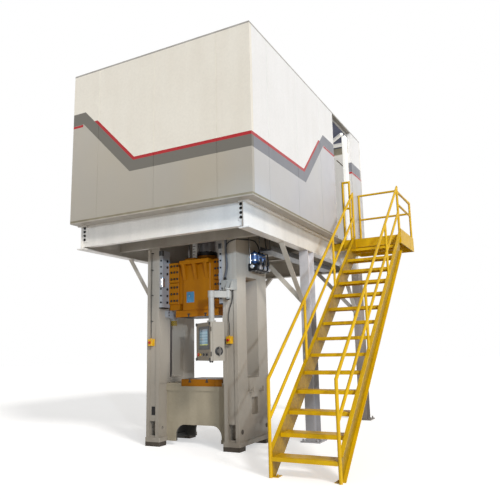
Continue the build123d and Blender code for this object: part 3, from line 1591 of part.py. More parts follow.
def pendant_conduit():
    """Conduit from the deck down the front of the right side frame to the pendant bracket."""
    y = -DEPTH_HALF - CONDUIT / 2 - SLIDING_GAP
    route = [
        (INSIDE_X + 68.0, y, DECK_UNDER),
        (INSIDE_X + 68.0, y, 3100.0),
        (INSIDE_X + 66.0, y, 2950.0),
        (INSIDE_X + 67.0, y, 2820.0),
        (INSIDE_X + 76.0, y, 2700.0),
        (INSIDE_X + 84.0, y, 2590.0),
        (INSIDE_X + 74.0, y, 2500.0),
        (INSIDE_X + 53.0, y, 2430.0),
        (INSIDE_X + 53.0, y, BRACKET_TOP),
    ]
    return cord_tube(route, CONDUIT, "pendant_conduit")


def top_hose():
    """Hose under the deck from the right side frame to the valve block."""
    x = PRESS_HALF + MANIFOLD_REACH / 2
    route = [
        (x, MANIFOLD_BACK + 40.0, DECK_UNDER),
        (x, MANIFOLD_BACK + 40.0, 3130.0),
        (x, MANIFOLD_BACK + 56.0, 3010.0),
        (x, MANIFOLD_BACK + 102.0, 2890.0),
        (x, MANIFOLD_BACK + 136.0, 2775.0),
        (x, MANIFOLD_BACK + 138.0, 2690.0),
        (x, MANIFOLD_BACK + 112.0, 2622.0),
        (x, MANIFOLD_BACK + 62.0, MANIFOLD_BOTTOM + MANIFOLD_HEIGHT / 2),
        (x, MANIFOLD_BACK, MANIFOLD_BOTTOM + MANIFOLD_HEIGHT / 2),
    ]
    return cord_tube(route, HOSE, "top_hose")


def main():
    """Build every piece and write it to its own file."""
    os.makedirs("parts", exist_ok=True)
    save(side_frame(-1), "side_frame_left")
    save(side_frame(1), "side_frame_right")
    save(levelling_pads(), "levelling_pads")
    save(base_rails(), "base_rails")
    save(bed(), "bed")
    save(bed_side_shelves(), "bed_side_shelves")
    save(bolster(), "bolster")
    save(crown(), "crown")
    save(main_cylinder(), "main_cylinder")
    save(rear_guard(), "rear_guard")
    save(gib_housings(-1), "gibs_left")
    save(gib_housings(1), "gibs_right")
    save(ledge_bracket(), "ledge_bracket")
    save(hook_bracket(), "hook_bracket")
    save(valve_manifold(), "valve_manifold")
    save(accumulators(), "accumulators")
    save(stop_box(STOP_BOX_LEFT_X), "stop_box_left")
    save(stop_box(STOP_BOX_RIGHT_X), "stop_box_right")
    save(stop_button(STOP_BOX_LEFT_X), "stop_button_left")
    save(stop_button(STOP_BOX_RIGHT_X), "stop_button_right")
    save(slide(), "slide")
    save(slide_gib_plates(), "slide_gib_plates")
    save(main_rod(), "main_rod")
    save(rod_ring(), "rod_ring")
    save(side_rod(), "side_rod")
    save(scale_bar(), "scale_bar")
    save(pendant_bracket(), "pendant_bracket")
    save(pendant_arm(), "pendant_arm")
    save(drop_tube(), "drop_tube")
    save(pendant_box(), "pendant_box")
    save(pendant_screen(), "pendant_screen")
    save(pendant_stop_button(), "pendant_stop_button")
    save(push_button(YELLOW_BUTTON_X), "push_button_yellow")
    save(push_button(BLACK_BUTTON_X), "push_button_black")
    save(pendant_selector(), "pendant_selector")
    save(disconnect_handle(), "disconnect_handle")
    save(side_beams(), "side_beams")
    save(front_beam(), "front_beam")
    save(cross_beams(), "cross_beams")
    save(deck(), "deck")
    save(columns(COLUMN_FRONT_Y), "columns_front")
    save(columns(COLUMN_REAR_Y), "columns_rear")
    save(knee_braces(), "knee_braces")
    save(cable_tray(), "cable_tray")
    save(wall_front(), "wall_front")
    save(wall_left(), "wall_left")
    save(wall_right(), "wall_right")
    save(wall_rear(), "wall_rear")
    save(roof(), "roof")
    save(hydraulic_unit(), "hydraulic_unit")
    save(stringer(-1), "stringer_left")
    save(stringer(1), "stringer_right")
    save(stair_treads(), "stair_treads")
    save(stair_rails(), "stair_rails")
    save(landing(), "landing")
    save(landing_guard(), "landing_guard")
    save(stop_cable_left(), "stop_cable_left")
    save(stop_cable_right(), "stop_cable_right")
    save(pendant_conduit(), "pendant_conduit")
    save(top_hose(), "top_hose")


main()
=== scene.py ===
"""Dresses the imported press: finishes for every CAD node, fastenings, fittings, cables, camera and light.

X runs right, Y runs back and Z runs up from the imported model's origin. Skins are in millimetres, as part.py is,
and everything else is in metres.
"""

import logging
import math
from collections.abc import Iterable, Sequence
from dataclasses import dataclass
from enum import Enum
from itertools import product

import bpy
import numpy as np
from mathutils import Matrix, Vector

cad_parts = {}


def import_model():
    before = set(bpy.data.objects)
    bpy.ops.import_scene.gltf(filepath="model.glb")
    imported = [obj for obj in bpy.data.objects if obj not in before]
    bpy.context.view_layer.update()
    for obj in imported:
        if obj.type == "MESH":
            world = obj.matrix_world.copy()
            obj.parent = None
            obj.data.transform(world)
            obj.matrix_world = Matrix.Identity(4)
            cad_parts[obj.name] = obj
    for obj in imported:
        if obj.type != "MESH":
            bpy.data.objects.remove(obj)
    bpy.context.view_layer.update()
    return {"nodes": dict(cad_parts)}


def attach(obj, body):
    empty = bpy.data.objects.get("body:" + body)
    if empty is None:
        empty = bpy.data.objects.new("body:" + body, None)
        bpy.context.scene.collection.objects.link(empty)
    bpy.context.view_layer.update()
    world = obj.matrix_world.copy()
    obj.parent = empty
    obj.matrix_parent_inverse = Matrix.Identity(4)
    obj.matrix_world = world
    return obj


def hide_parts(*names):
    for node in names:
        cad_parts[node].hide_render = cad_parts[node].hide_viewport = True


LOG = logging.getLogger("press")
UP = Vector((0, 0, 1))
RIGHT = Vector((1, 0, 0))
FRONT = Vector((0, -1, 0))
BOTH = (-1, 1)

Colour = tuple[float, float, float]
Point = tuple[float, float, float]
Socket = bpy.types.NodeSocket
Material = bpy.types.Material
Object = bpy.types.Object


def tone(red: int, green: int, blue: int) -> Colour:
    """Linear colour of an sRGB one given from 0 to 255: c/12.92 below 0.04, else ((c + 0.055)/1.055)^2.4."""
    shown = np.array((red, green, blue)) / 255
    linear = np.where(shown < 0.04045, shown / 12.92, ((shown + 0.055) / 1.055) ** 2.4)
    return tuple(float(x) for x in linear)


DUST = tone(92, 82, 68)
DEEP_SHADE = tone(26, 24, 22)
# Colour of the painted shade on the stringers' recessed webs.
WEB_SHADE = tone(88, 62, 4)


def dimmed(colour: Colour, share: float) -> Colour:
    """The colour times a share."""
    return tuple(share * c for c in colour)


def stand(name: str, data: object) -> Object:
    """New object of that data in the scene."""
    thing = bpy.data.objects.new(name, data)
    bpy.context.scene.collection.objects.link(thing)
    return thing


# Drawing materials


class Nodes:
    """Adds nodes to a node tree and links them."""

    def __init__(self, tree: bpy.types.NodeTree) -> None:
        """Keeps the tree."""
        self.tree = tree

    def feed(self, source: object, target: Socket) -> None:
        """Links a socket to the target, or sets the target's value to a plain one."""
        if isinstance(source, Socket):
            self.tree.links.new(source, target)
        elif isinstance(source, tuple):
            target.default_value = (*source, 1.0) if len(target.default_value) == 4 else source
        else:
            target.default_value = source

    def node(self, kind: str, values: dict[int | str, object] | None = None, **settings: object) -> bpy.types.Node:
        """New shader node with its settings made and its inputs fed."""
        node = self.tree.nodes.new("ShaderNode" + kind)
        for key, value in settings.items():
            setattr(node, key, value)
        for key, value in (values or {}).items():
            self.feed(value, node.inputs[key])
        return node

    def maths(self, operation: str, first: object, second: object = 0.0) -> Socket:
        """Output of a Math node of two inputs."""
        return self.node("Math", {0: first, 1: second}, operation=operation).outputs[0]


class Pen(Nodes):
    """Draws the node tree of one material around its Principled shader."""

    def __init__(self, name: str) -> None:
        """Starts a material with its shader and its Object coordinates."""
        self.material = bpy.data.materials.new(name)
        self.material.use_nodes = True
        super().__init__(self.material.node_tree)
        self.shader = self.tree.nodes["Principled BSDF"]
        self.place = self.node("TexCoord").outputs["Object"]
        self.x, self.y, self.z = self.node("SeparateXYZ", {0: self.place}).outputs

    def between(self, value: object, low: object, high: object) -> Socket:
        """One where low < value < high, and nought elsewhere."""
        return self.maths("MULTIPLY", self.maths("GREATER_THAN", value, low), self.maths("LESS_THAN", value, high))

    def limited(self, value: object, low: float, high: float) -> Socket:
        """The value held between low and high."""
        return self.maths("MINIMUM", self.maths("MAXIMUM", value, low), high)

    def noise(self, scale: float, detail: float = 3.0, stretch: Point | None = None) -> Socket:
        """Cloud noise from 0 to 1 at so many clouds a metre, stretched by a scale on each axis."""
        place = self.node("Mapping", {"Vector": self.place, "Scale": stretch}).outputs[0] if stretch else self.place
        return self.node("TexNoise", {"Vector": place, "Scale": scale, "Detail": detail}).outputs["Fac"]

    def spread(self, value: object, low: float, high: float, to_low: float, to_high: float) -> Socket:
        """The value's range low to high laid on the range to_low to to_high, and held there."""
        return self.node("MapRange", dict(enumerate((value, low, high, to_low, to_high)))).outputs[0]

    def mix(self, share: object, first: object, second: object) -> Socket:
        """Colour that goes from the first to the second with the share."""
        return self.node("Mix", {0: share, 6: first, 7: second}, data_type="RGBA").outputs[2]

    def bump(self, height: object, strength: float, distance: float) -> Socket:
        """Surface direction tilted by a height."""
        return self.node("Bump", {"Strength": strength, "Distance": distance, "Height": height}).outputs[0]

    def finish(self, colour: object, roughness: object, normal: object, metallic: object = 0.0,
               glow: float = 0.0, **others: float) -> Material:
        """Feeds the shader and gives the material.

        Args:
            colour: also the colour of its glow.
            roughness: from 0 to 1.
            normal: surface direction, or None.
            metallic: from 0 to 1.
            glow: strength of its glow.
            others: other inputs, by name with _ for a space.

        Returns:
            The material.
        """
        values = {"Base Color": colour, "Roughness": roughness, "Metallic": metallic}
        if normal is not None:
            values["Normal"] = normal
        if glow > 0:
            values |= {"Emission Color": colour, "Emission Strength": glow}
        values |= {name.replace("_", " "): value for name, value in others.items()}
        for name, value in values.items():
            self.feed(value, self.shader.inputs[name])
        return self.material


@dataclass(frozen=True)
class Band:
    """Part of a finish between two heights that has another colour."""

    low: float
    high: float
    colour: Colour
    metallic: float = 0.0


@dataclass(frozen=True)
class Paint:
    """Sprayed enamel: two close tones in clouds and runs, a fine peel, and dust towards the floor.

    Inside a given box of |x|, |y| and z it is painted in deep shade, and between given pairs of x it is painted
    darker as the shade on a recessed web. A fade below 1 paints it darker towards the floor as shade; a glow is
    painted light.
    """

    name: str
    colour: Colour
    shade: Colour
    roughness: float = 0.42
    peel: float = 0.12
    coat: float = 0.0
    soil: float = 0.0
    soil_height: float = 0.5
    bands: tuple[Band, ...] = ()
    glow: float = 0.0
    fade: float = 1.0
    gloss: float = 0.5
    shade_box: tuple[float, ...] = ()
    shaded_webs: tuple[tuple[float, float], ...] = ()

    def coloured(self, pen: Pen) -> object:
        """Colour socket of the enamel before its bands."""
        clouds = pen.noise(1.7, 4.0)
        runs = pen.noise(2.6, 3.0, (2.2, 2.2, 0.25))
        share = pen.spread(pen.maths("ADD", clouds, runs), 0.75, 1.3, 0.0, 1.0)
        colour = pen.mix(share, self.colour, self.shade)
        fine = pen.spread(pen.noise(34.0, 5.0), 0.35, 0.75, 0.0, 0.16)
        colour = pen.mix(fine, colour, dimmed(self.shade, 0.72))
        # Painted shade: darker towards the floor, from z 2.5 down to 0.9.
        if self.fade < 1:
            colour = pen.mix(pen.spread(pen.z, 0.9, 2.5, 1.0, 0.0), colour, dimmed(self.shade, self.fade))
        if self.soil > 0:
            low = pen.spread(pen.z, 0.0, self.soil_height, self.soil, 0.0)
            dust = pen.maths("MULTIPLY", low, pen.spread(pen.noise(9.0, 6.0), 0.3, 0.7, 0.2, 1.0))
            colour = pen.mix(dust, colour, DUST)
        # Painted deep shade inside the given box of |x|, |y| and z.
        if self.shade_box:
            wide, deep, top = self.shade_box
            inside = pen.maths("MULTIPLY", pen.between(pen.x, -wide, wide), pen.between(pen.y, -deep, deep))
            inside = pen.maths("MULTIPLY", inside, pen.maths("LESS_THAN", pen.z, top))
            colour = pen.mix(pen.maths("MULTIPLY", inside, 0.9), colour, DEEP_SHADE)
        # Painted shade: darker between each pair of x, on the stringers' recessed webs.
        for low_x, high_x in self.shaded_webs:
            share = pen.maths("MULTIPLY", pen.between(pen.x, low_x, high_x), pen.spread(fine, 0.0, 0.16, 0.5, 0.75))
            colour = pen.mix(share, colour, WEB_SHADE)
        return colour

    def material(self) -> Material:
        """Builds the material."""
        pen = Pen(self.name)
        colour = self.coloured(pen)
        roughness = pen.spread(pen.noise(11.0, 4.0), 0.3, 0.7, self.roughness - 0.07, self.roughness + 0.09)
        metallic: object = 0.0
        for band in self.bands:
            inside = pen.between(pen.z, band.low, band.high)
            grain = pen.spread(pen.noise(60.0, 4.0, (1, 8, 1)), 0.3, 0.7, 0.82, 1.08)
            colour = pen.mix(inside, colour, pen.mix(grain, (0.0, 0.0, 0.0), band.colour))
            metallic = pen.maths("MAXIMUM", metallic, pen.maths("MULTIPLY", inside, band.metallic))
        coat = {"Coat_Weight": self.coat, "Coat_Roughness": 0.12} if self.coat > 0 else {}
        return pen.finish(colour, roughness, pen.bump(pen.noise(240.0, 2.0), self.peel, 0.0008), metallic, self.glow,
                          Specular_IOR_Level=self.gloss, **coat)


class Side(Enum):
    """Which way a wall's stripe is read along the wall."""

    FRONT = "front"
    RIGHT = "right"
    LEVEL = "level"


@dataclass(frozen=True)
class StripedPanel(Paint):
    """Wall enamel in two tones with a cranked stripe between them, edged with a thin line.

    With s along the wall, the stripe lies between limited(s + low_edge) and limited(s + high_edge).
    """

    side: Side = Side.LEVEL
    below: Colour = ()
    below_far: Colour = ()
    stripe: Colour = ()
    line: Colour = (0.40, 0.006, 0.012)
    low_edge: float = 3.572
    high_edge: float = 3.789
    line_height: float = 0.062
    line_top: float = 4.780
    upper_line_from: float = 1.216

    def material(self) -> Material:
        """Builds the material."""
        pen = Pen(self.name)
        upper = self.coloured(pen)
        along: object = {Side.FRONT: pen.maths("MULTIPLY", pen.x, -1.0), Side.RIGHT: pen.y, Side.LEVEL: 3.0}[self.side]
        low = pen.limited(pen.maths("ADD", along, self.low_edge), 3.882, 4.775)
        high = pen.limited(pen.maths("ADD", along, self.high_edge), 4.040, 4.962)
        line_low = pen.maths("MAXIMUM", pen.maths("ADD", along, self.high_edge), 4.040)
        line_high = pen.maths("MAXIMUM", pen.maths("ADD", along, self.high_edge + self.line_height), 4.085)
        rising = pen.maths("MULTIPLY", pen.between(pen.z, line_low, line_high),
                           pen.maths("LESS_THAN", pen.z, self.line_top))
        level = pen.maths("MULTIPLY", pen.between(pen.z, 4.735, 4.772),
                          pen.maths("GREATER_THAN", along, self.upper_line_from))
        clouds = pen.spread(pen.noise(1.1, 3.0, (1, 1, 0.4)), 0.35, 0.65, 0.0, 1.0)
        lower = pen.mix(clouds, self.below, self.below_far)
        lower = pen.mix(pen.spread(pen.z, 3.3, 4.6, 0.42, 0.0), lower, dimmed(self.below, 0.62))
        colour = pen.mix(pen.maths("LESS_THAN", pen.z, low), upper, lower)
        outer: object = 1.0
        if self.side is Side.LEVEL:
            outer = pen.maths("MAXIMUM", pen.maths("LESS_THAN", pen.x, -1.39), pen.maths("GREATER_THAN", pen.y, 3.40))
        colour = pen.mix(pen.maths("MULTIPLY", pen.between(pen.z, low, high), outer), colour, self.stripe)
        colour = pen.mix(pen.maths("MULTIPLY", pen.maths("MAXIMUM", rising, level), outer), colour, self.line)
        roughness = pen.spread(pen.noise(5.0, 3.0), 0.3, 0.7, self.roughness - 0.05, self.roughness + 0.07)
        return pen.finish(colour, roughness, pen.bump(pen.noise(150.0, 2.0), self.peel, 0.0006))


@dataclass(frozen=True)
class Metal:
    """Bare, plated or blackened metal with a grain, small scratches and handling marks."""

    name: str
    colour: Colour
    roughness: float = 0.3
    grain: Point = (1.0, 1.0, 12.0)
    grain_scale: float = 60.0
    metallic: float = 1.0
    relief: float = 0.12

    def material(self) -> Material:
        """Builds the material."""
        pen = Pen(self.name)
        grain = pen.noise(self.grain_scale, 5.0, self.grain)
        marks = pen.noise(7.0, 5.0)
        share = pen.spread(pen.maths("ADD", grain, marks), 0.8, 1.25, 0.0, 0.8)
        colour = pen.mix(share, self.colour, dimmed(self.colour, 0.68))
        roughness = pen.spread(marks, 0.3, 0.72, max(0.03, self.roughness - 0.1), self.roughness + 0.12)
        return pen.finish(colour, roughness, pen.bump(grain, self.relief, 0.0006), self.metallic)


@dataclass(frozen=True)
class Spangle:
    """Hot-dip zinc: flat crystals of slightly different grey."""

    name: str
    colour: Colour

    def material(self) -> Material:
        """Builds the material."""
        pen = Pen(self.name)
        cells = pen.node("TexVoronoi", {"Vector": pen.place, "Scale": 70.0}).outputs["Color"]
        grey = pen.node("RGBToBW", {0: cells}).outputs[0]
        colour = pen.mix(grey, self.colour, dimmed(self.colour, 0.7))
        colour = pen.mix(pen.spread(pen.noise(4.0, 4.0), 0.4, 0.8, 0.0, 0.3), colour, tone(150, 146, 140))
        roughness = pen.spread(grey, 0.0, 1.0, 0.34, 0.55)
        return pen.finish(colour, roughness, pen.bump(grey, 0.08, 0.0005), 0.7)


@dataclass(frozen=True)
class Moulding:
    """Moulded plastic or rubber: a fine leather-like grain, worn slightly smoother in places."""

    name: str
    colour: Colour
    roughness: float = 0.45
    grain_scale: float = 420.0
    relief: float = 0.18

    def material(self) -> Material:
        """Builds the material."""
        pen = Pen(self.name)
        clouds = pen.spread(pen.noise(18.0, 4.0), 0.3, 0.7, 0.0, 1.0)
        colour = pen.mix(clouds, self.colour, dimmed(self.colour, 0.82))
        roughness = pen.spread(pen.noise(30.0, 3.0), 0.3, 0.7, self.roughness - 0.08, self.roughness + 0.08)
        return pen.finish(colour, roughness, pen.bump(pen.noise(self.grain_scale, 2.0), self.relief, 0.0004))


@dataclass(frozen=True)
class WarningStripes:
    """Black and yellow slanted bands on the end of the stop."""

    name: str
    width: float = 0.032

    def material(self) -> Material:
        """Builds the material."""
        pen = Pen(self.name)
        slant = pen.maths("DIVIDE", pen.maths("ADD", pen.z, pen.maths("ADD", pen.y, pen.x)), self.width)
        share = pen.maths("GREATER_THAN", pen.maths("FRACT", slant), 0.5)
        colour = pen.mix(share, tone(28, 27, 25), tone(196, 160, 40))
        worn = pen.spread(pen.noise(40.0, 5.0), 0.62, 0.75, 0.0, 0.7)
        colour = pen.mix(worn, colour, tone(104, 98, 88))
        return pen.finish(colour, 0.5, pen.bump(pen.noise(220.0), 0.15, 0.0006))


@dataclass(frozen=True)
class ScreenPage:
    """Glass of the operator's screen with a page of plain tiles, a header and a footer bar."""

    name: str
    page: Colour
    header: Colour
    tile: Colour
    footer: Colour

    def material(self) -> Material:
        """Builds the material."""
        pen = Pen(self.name)
        rows = pen.between(pen.maths("FRACT", pen.maths("MULTIPLY", pen.z, 27.0)), 0.18, 0.82)
        colour = pen.mix(pen.maths("MULTIPLY", rows, pen.between(pen.z, 1.475, 1.625)), self.page, self.tile)
        colour = pen.mix(pen.maths("GREATER_THAN", pen.z, 1.638), colour, self.header)
        colour = pen.mix(pen.maths("LESS_THAN", pen.z, 1.463), colour, self.footer)
        colour = pen.mix(pen.spread(pen.noise(6.0, 2.0), 0.35, 0.7, 0.0, 0.2), colour, (0.45, 0.62, 0.70))
        roughness = pen.spread(pen.noise(25.0, 4.0), 0.4, 0.7, 0.12, 0.24)
        return pen.finish(colour, roughness, pen.bump(pen.noise(300.0), 0.03, 0.0003), glow=0.12, Coat_Weight=0.6)


YELLOW = {"colour": tone(220, 177, 0), "shade": tone(198, 154, 0), "gloss": 0.25, "soil": 0.22, "soil_height": 0.4}
FINISHES: dict[str, object] = {finish.name: finish for finish in (
    # frame_paint: painted deep shade low between the frames, and painted shade darker towards the floor.
    Paint("frame_paint", tone(196, 188, 176), tone(180, 171, 158), soil=0.4, soil_height=0.6, fade=0.62,
          gloss=0.35, shade_box=(0.60, 0.27, 0.31)),
    Paint("rail_paint", tone(180, 182, 186), tone(158, 158, 160), 0.32, coat=0.3),
    # bed_paint: painted deep shade inside the bed, under its arch.
    Paint("bed_paint", tone(160, 150, 130), tone(140, 131, 112), 0.45, gloss=0.35, soil=0.35,
          shade_box=(0.60, 0.27, 0.80)),
    # slide_paint: its underside band is bare steel, painted darker as its shade.
    Paint("slide_paint", tone(186, 116, 6), tone(166, 100, 2), 0.45, gloss=0.16,
          bands=(Band(1.887, 1.8886, tone(38, 36, 34), 0.3),)),
    Paint("bolster_paint", tone(158, 98, 2), tone(138, 84, 0), 0.46, gloss=0.16,
          bands=(Band(0.9595, 0.97, tone(96, 94, 92), 1.0),)),
    Paint("plate_orange", tone(192, 122, 14), tone(172, 104, 6), 0.45, gloss=0.16),
    # guard_paint glows a little, as painted light on the rear guard.
    Paint("guard_paint", tone(188, 182, 174), tone(168, 162, 154), 0.5, glow=0.16),
    Paint("deck_paint", tone(208, 201, 190), tone(186, 179, 168), coat=0.1, soil=0.25),
    # A darker copy of deck_paint, as painted shade under the deck.
    Paint("joist_shaded", tone(178, 171, 160), tone(160, 152, 141), 0.45, soil=0.2),
    # column_paint: tinted blue as painted light on the front columns, with painted shade darker towards the floor; the
    # finish after it is a darker copy, as painted shade on the rear columns.
    Paint("column_paint", tone(218, 216, 219), tone(190, 188, 191), 0.38, coat=0.1, soil=0.3, fade=0.62),
    Paint("column_shaded", tone(184, 174, 166), tone(164, 153, 145), 0.5, soil=0.2, fade=0.5),
    Paint("beam_paint", tone(232, 228, 222), tone(216, 212, 206), 0.38, coat=0.2),
    # The next three glow as painted light on the doorway's ceiling, lining, rails and post.
    Paint("lit_lining_dark", tone(84, 88, 108), tone(62, 66, 86), 0.6, glow=0.45),
    Paint("lit_white", tone(240, 238, 233), tone(230, 228, 222), 0.5, glow=0.5),
    Paint("lit_olive", tone(150, 144, 126), tone(128, 122, 104), 0.5, glow=0.5),
    Paint("roof_trim", tone(142, 134, 112), tone(118, 110, 90), 0.5),
    Paint("unit_paint", tone(118, 124, 130), tone(98, 104, 112)),
    Paint("stair_yellow", **YELLOW),
    # stringer_yellow: painted shade on the stringers' recessed webs.
    Paint("stringer_yellow", **YELLOW, shaded_webs=((1.8435, 1.8465), (2.6075, 2.6105))),
    Paint("box_paint", tone(162, 156, 146), tone(150, 144, 134), gloss=0.35),
    Paint("arm_paint", tone(178, 175, 168), tone(160, 157, 150), gloss=0.35),
    Paint("scale_white", tone(228, 226, 220), tone(206, 202, 196), 0.4),
    Paint("cap_paint", tone(170, 166, 160), tone(150, 146, 140), 0.45),
    # panel_front and panel_right carry one wall paint, the front in warmer tones and the right in cooler ones, as
    # painted light.
    StripedPanel("panel_front", tone(233, 227, 215), tone(228, 221, 208), 0.34, 0.05, side=Side.FRONT,
                 below=tone(181, 172, 156), below_far=tone(177, 171, 161), stripe=tone(106, 102, 94)),
    StripedPanel("panel_right", tone(234, 232, 231), tone(228, 226, 224), 0.34, 0.05, side=Side.RIGHT,
                 below=tone(192, 191, 195), below_far=tone(196, 194, 192), stripe=tone(118, 119, 126),
                 low_edge=3.616, high_edge=3.816, line_top=4.793, upper_line_from=1.155),
    StripedPanel("panel_level", tone(236, 232, 224), tone(230, 226, 216), 0.34, 0.05,
                 below=tone(190, 184, 172), below_far=tone(186, 180, 170), stripe=tone(124, 120, 114)),
    Metal("rod_dark", tone(206, 206, 210), 0.2, (9, 9, 0.12), 7.0, metallic=0.7, relief=0.05),
    Metal("ram_chrome", tone(214, 216, 220), 0.12, (1, 1, 14), relief=0.03),
    Metal("black_steel", tone(38, 37, 38), 0.38, (1, 1, 1), 90.0, 0.75),
    Metal("bright_pin", tone(196, 196, 200), 0.2, (1, 1, 6)),
    Metal("blued_plate", tone(72, 136, 176), 0.32, (8, 1, 1), 14.0, metallic=0.35),
    Metal("pad_dark", tone(64, 56, 47), 0.55, (1, 1, 10), 30.0, 0.35, 0.3),
    Spangle("galvanised", tone(116, 117, 119)),
    Moulding("stop_yellow", tone(220, 168, 22), 0.42),
    Moulding("button_red", tone(186, 26, 22), 0.32, relief=0.06),
    Moulding("button_yellow", tone(226, 180, 40), 0.32, relief=0.06),
    Moulding("button_black", tone(30, 30, 32), 0.36, relief=0.08),
    Moulding("screen_plastic", tone(134, 123, 105), 0.5),
    Moulding("handle_grey", tone(104, 101, 98), 0.4),
    Moulding("bezel_dark", tone(56, 58, 60), 0.4),
    Moulding("cable_black", tone(34, 34, 36), 0.5, 500.0),
    Moulding("conduit_grey", tone(86, 88, 94), 0.42),
    Moulding("hose_black", tone(30, 30, 31), 0.55, 300.0, 0.3),
    Moulding("mark_black", tone(26, 26, 28), 0.5),
    Moulding("bottle_blue", tone(70, 108, 168), 0.34, 200.0, 0.08),
    WarningStripes("warning_stripes"),
    ScreenPage("screen_glass", tone(70, 128, 160), tone(46, 84, 112), tone(112, 164, 186), tone(176, 190, 40)),
)}

# The CAD nodes of each finish.
NODE_FINISH: dict[str, str] = {
    "frame_paint": "side_frame_left side_frame_right base_rails hook_bracket",
    "rail_paint": "gibs_left gibs_right ledge_bracket",
    "bed_paint": "bed bed_side_shelves crown",
    "pad_dark": "levelling_pads",
    "bolster_paint": "bolster",
    "guard_paint": "rear_guard",
    "slide_paint": "slide",
    "plate_orange": "slide_gib_plates",
    "rod_dark": "main_rod main_cylinder",
    "black_steel": "rod_ring valve_manifold",
    "handle_grey": "disconnect_handle",
    "bottle_blue": "accumulators",
    "ram_chrome": "side_rod",
    "scale_white": "scale_bar",
    "stop_yellow": "stop_box_left stop_box_right",
    "button_red": "stop_button_left stop_button_right pendant_stop_button",
    "arm_paint": "pendant_bracket pendant_arm drop_tube",
    "box_paint": "pendant_box",
    "bezel_dark": "pendant_screen",
    "button_yellow": "push_button_yellow",
    "button_black": "push_button_black pendant_selector",
    "beam_paint": "side_beams front_beam",
    "deck_paint": "knee_braces",
    "column_paint": "columns_front",
    "joist_shaded": "cross_beams deck",
    "column_shaded": "columns_rear",
    "galvanised": "cable_tray",
    "panel_front": "wall_front",
    "panel_right": "wall_right",
    "panel_level": "wall_left wall_rear",
    "cap_paint": "roof",
    "unit_paint": "hydraulic_unit",
    "stair_yellow": "stair_treads stair_rails landing_guard landing",
    "stringer_yellow": "stringer_left stringer_right",
    "cable_black": "stop_cable_left",
}


# Surfaces

CORNER_POINTS = 5


def seat(point: Sequence[float], facing: Sequence[float] = UP) -> Matrix:
    """Matrix that stands a piece at a point with its Z facing that way."""
    return Matrix.Translation(Vector(point)) @ Vector(facing).to_track_quat("Z", "Y").to_matrix().to_4x4()


def seats(xs: Iterable[float], ys: Iterable[float], zs: Iterable[float], facing: Sequence[float] = UP) -> list[Matrix]:
    """Seats at every point of a grid, all facing one way."""
    return [seat(point, facing) for point in product(xs, ys, zs)]


def seats_round(radius: float, z: float, count: int) -> list[Matrix]:
    """Seats at (r cos a, r sin a, z), spread evenly all round."""
    return [seat((radius * math.cos(a), radius * math.sin(a), z)) for a in np.arange(count) * 2 * math.pi / count]


@dataclass
class Skin:
    """A closed surface: its points, its four-sided faces and its three-sided faces."""

    points: np.ndarray
    quads: np.ndarray
    tris: np.ndarray

    def outward(self) -> "Skin":
        """The skin with its faces turned out: the sum of a·(b×c) over its triangles is six times its volume."""
        corners = np.concatenate([self.quads[:, [0, 1, 2]], self.quads[:, [0, 2, 3]], self.tris])
        a, b, c = (self.points[corners[:, k]] for k in range(3))
        if float(np.einsum("ij,ij->i", a, np.cross(b, c)).sum()) < 0:
            return Skin(self.points, self.quads[:, ::-1], self.tris[:, ::-1])
        return self

    def placed(self, matrix: Matrix) -> "Skin":
        """The skin moved by a matrix."""
        turn = np.array(matrix)
        return Skin(self.points @ turn[:3, :3].T + turn[:3, 3], self.quads, self.tris)

    def at(self, point: Point, facing: Vector | None = None) -> "Skin":
        """The skin moved to a point, with its Z turned to face that way if one is given."""
        return self.placed(Matrix.Translation(point) if facing is None else seat(point, facing))


def joined(skins: Iterable[Skin]) -> Skin:
    """Several skins as one, with their faces numbered on."""
    parts = [skin.outward() for skin in skins]
    starts = np.cumsum([0] + [len(skin.points) for skin in parts[:-1]])
    return Skin(
        np.concatenate([skin.points for skin in parts]),
        np.concatenate([skin.quads + start for skin, start in zip(parts, starts)]),
        np.concatenate([skin.tris + start for skin, start in zip(parts, starts)]),
    )


def closed(grid: np.ndarray) -> Skin:
    """Skin of a grid of rows of points: each row closes on itself, and a fan to its middle closes each end row.

    Args:
        grid: points as rows by columns by three.
    """
    rows, columns = grid.shape[:2]
    index = np.arange(rows * columns).reshape(rows, columns)
    after = np.roll(index, -1, axis=1)
    quads = np.stack([index[:-1], after[:-1], after[1:], index[1:]], -1).reshape(-1, 4)
    low, high = (np.full(columns, rows * columns + k) for k in (0, 1))
    fans = np.concatenate([np.stack([after[0], index[0], low], -1), np.stack([index[-1], after[-1], high], -1)])
    points = np.concatenate([grid.reshape(-1, 3), grid[[0, -1]].mean(1)])
    return Skin(points, quads, fans).outward()


def turned(profile: Sequence[tuple[float, ...]], columns: int = 18, flats: int = 0) -> Skin:
    """A profile of (radius, height) turned about Z: (r cos t, r sin t, h).

    A third value of 1 in a row gives it flat sides: r times cos(pi/n) / cos(t mod 2pi/n - pi/n), with n flats.

    Args:
        profile: rows from the bottom up, or out and back in.
        columns: points round each row.
        flats: number of flat sides of the rows that have them.
    """
    rows = np.array([(*row, 0.0)[:3] for row in profile])
    t = np.linspace(0, 2 * math.pi, columns, endpoint=False)
    radius = np.repeat(rows[:, :1], columns, axis=1)
    if flats:
        turn = 2 * math.pi / flats
        flat = math.cos(turn / 2) / np.cos(np.mod(t, turn) - turn / 2)
        radius = radius * (1 + rows[:, 2:3] * (flat - 1))
    height = np.repeat(rows[:, 1:2], columns, axis=1)
    return closed(np.stack([radius * np.cos(t), radius * np.sin(t), height], -1))


def outline(width: float, depth: float, corner: float) -> np.ndarray:
    """Rounded rectangle round the origin: each corner's centre plus corner (cos t, sin t) over its quarter turn."""
    t = np.linspace(0, math.pi / 2, CORNER_POINTS) + np.arange(4)[:, None] * math.pi / 2
    centre_x = np.array([1, -1, -1, 1])[:, None] * (width / 2 - corner)
    centre_y = np.array([1, 1, -1, -1])[:, None] * (depth / 2 - corner)
    return np.stack([centre_x + corner * np.cos(t), centre_y + corner * np.sin(t)], -1).reshape(-1, 2)


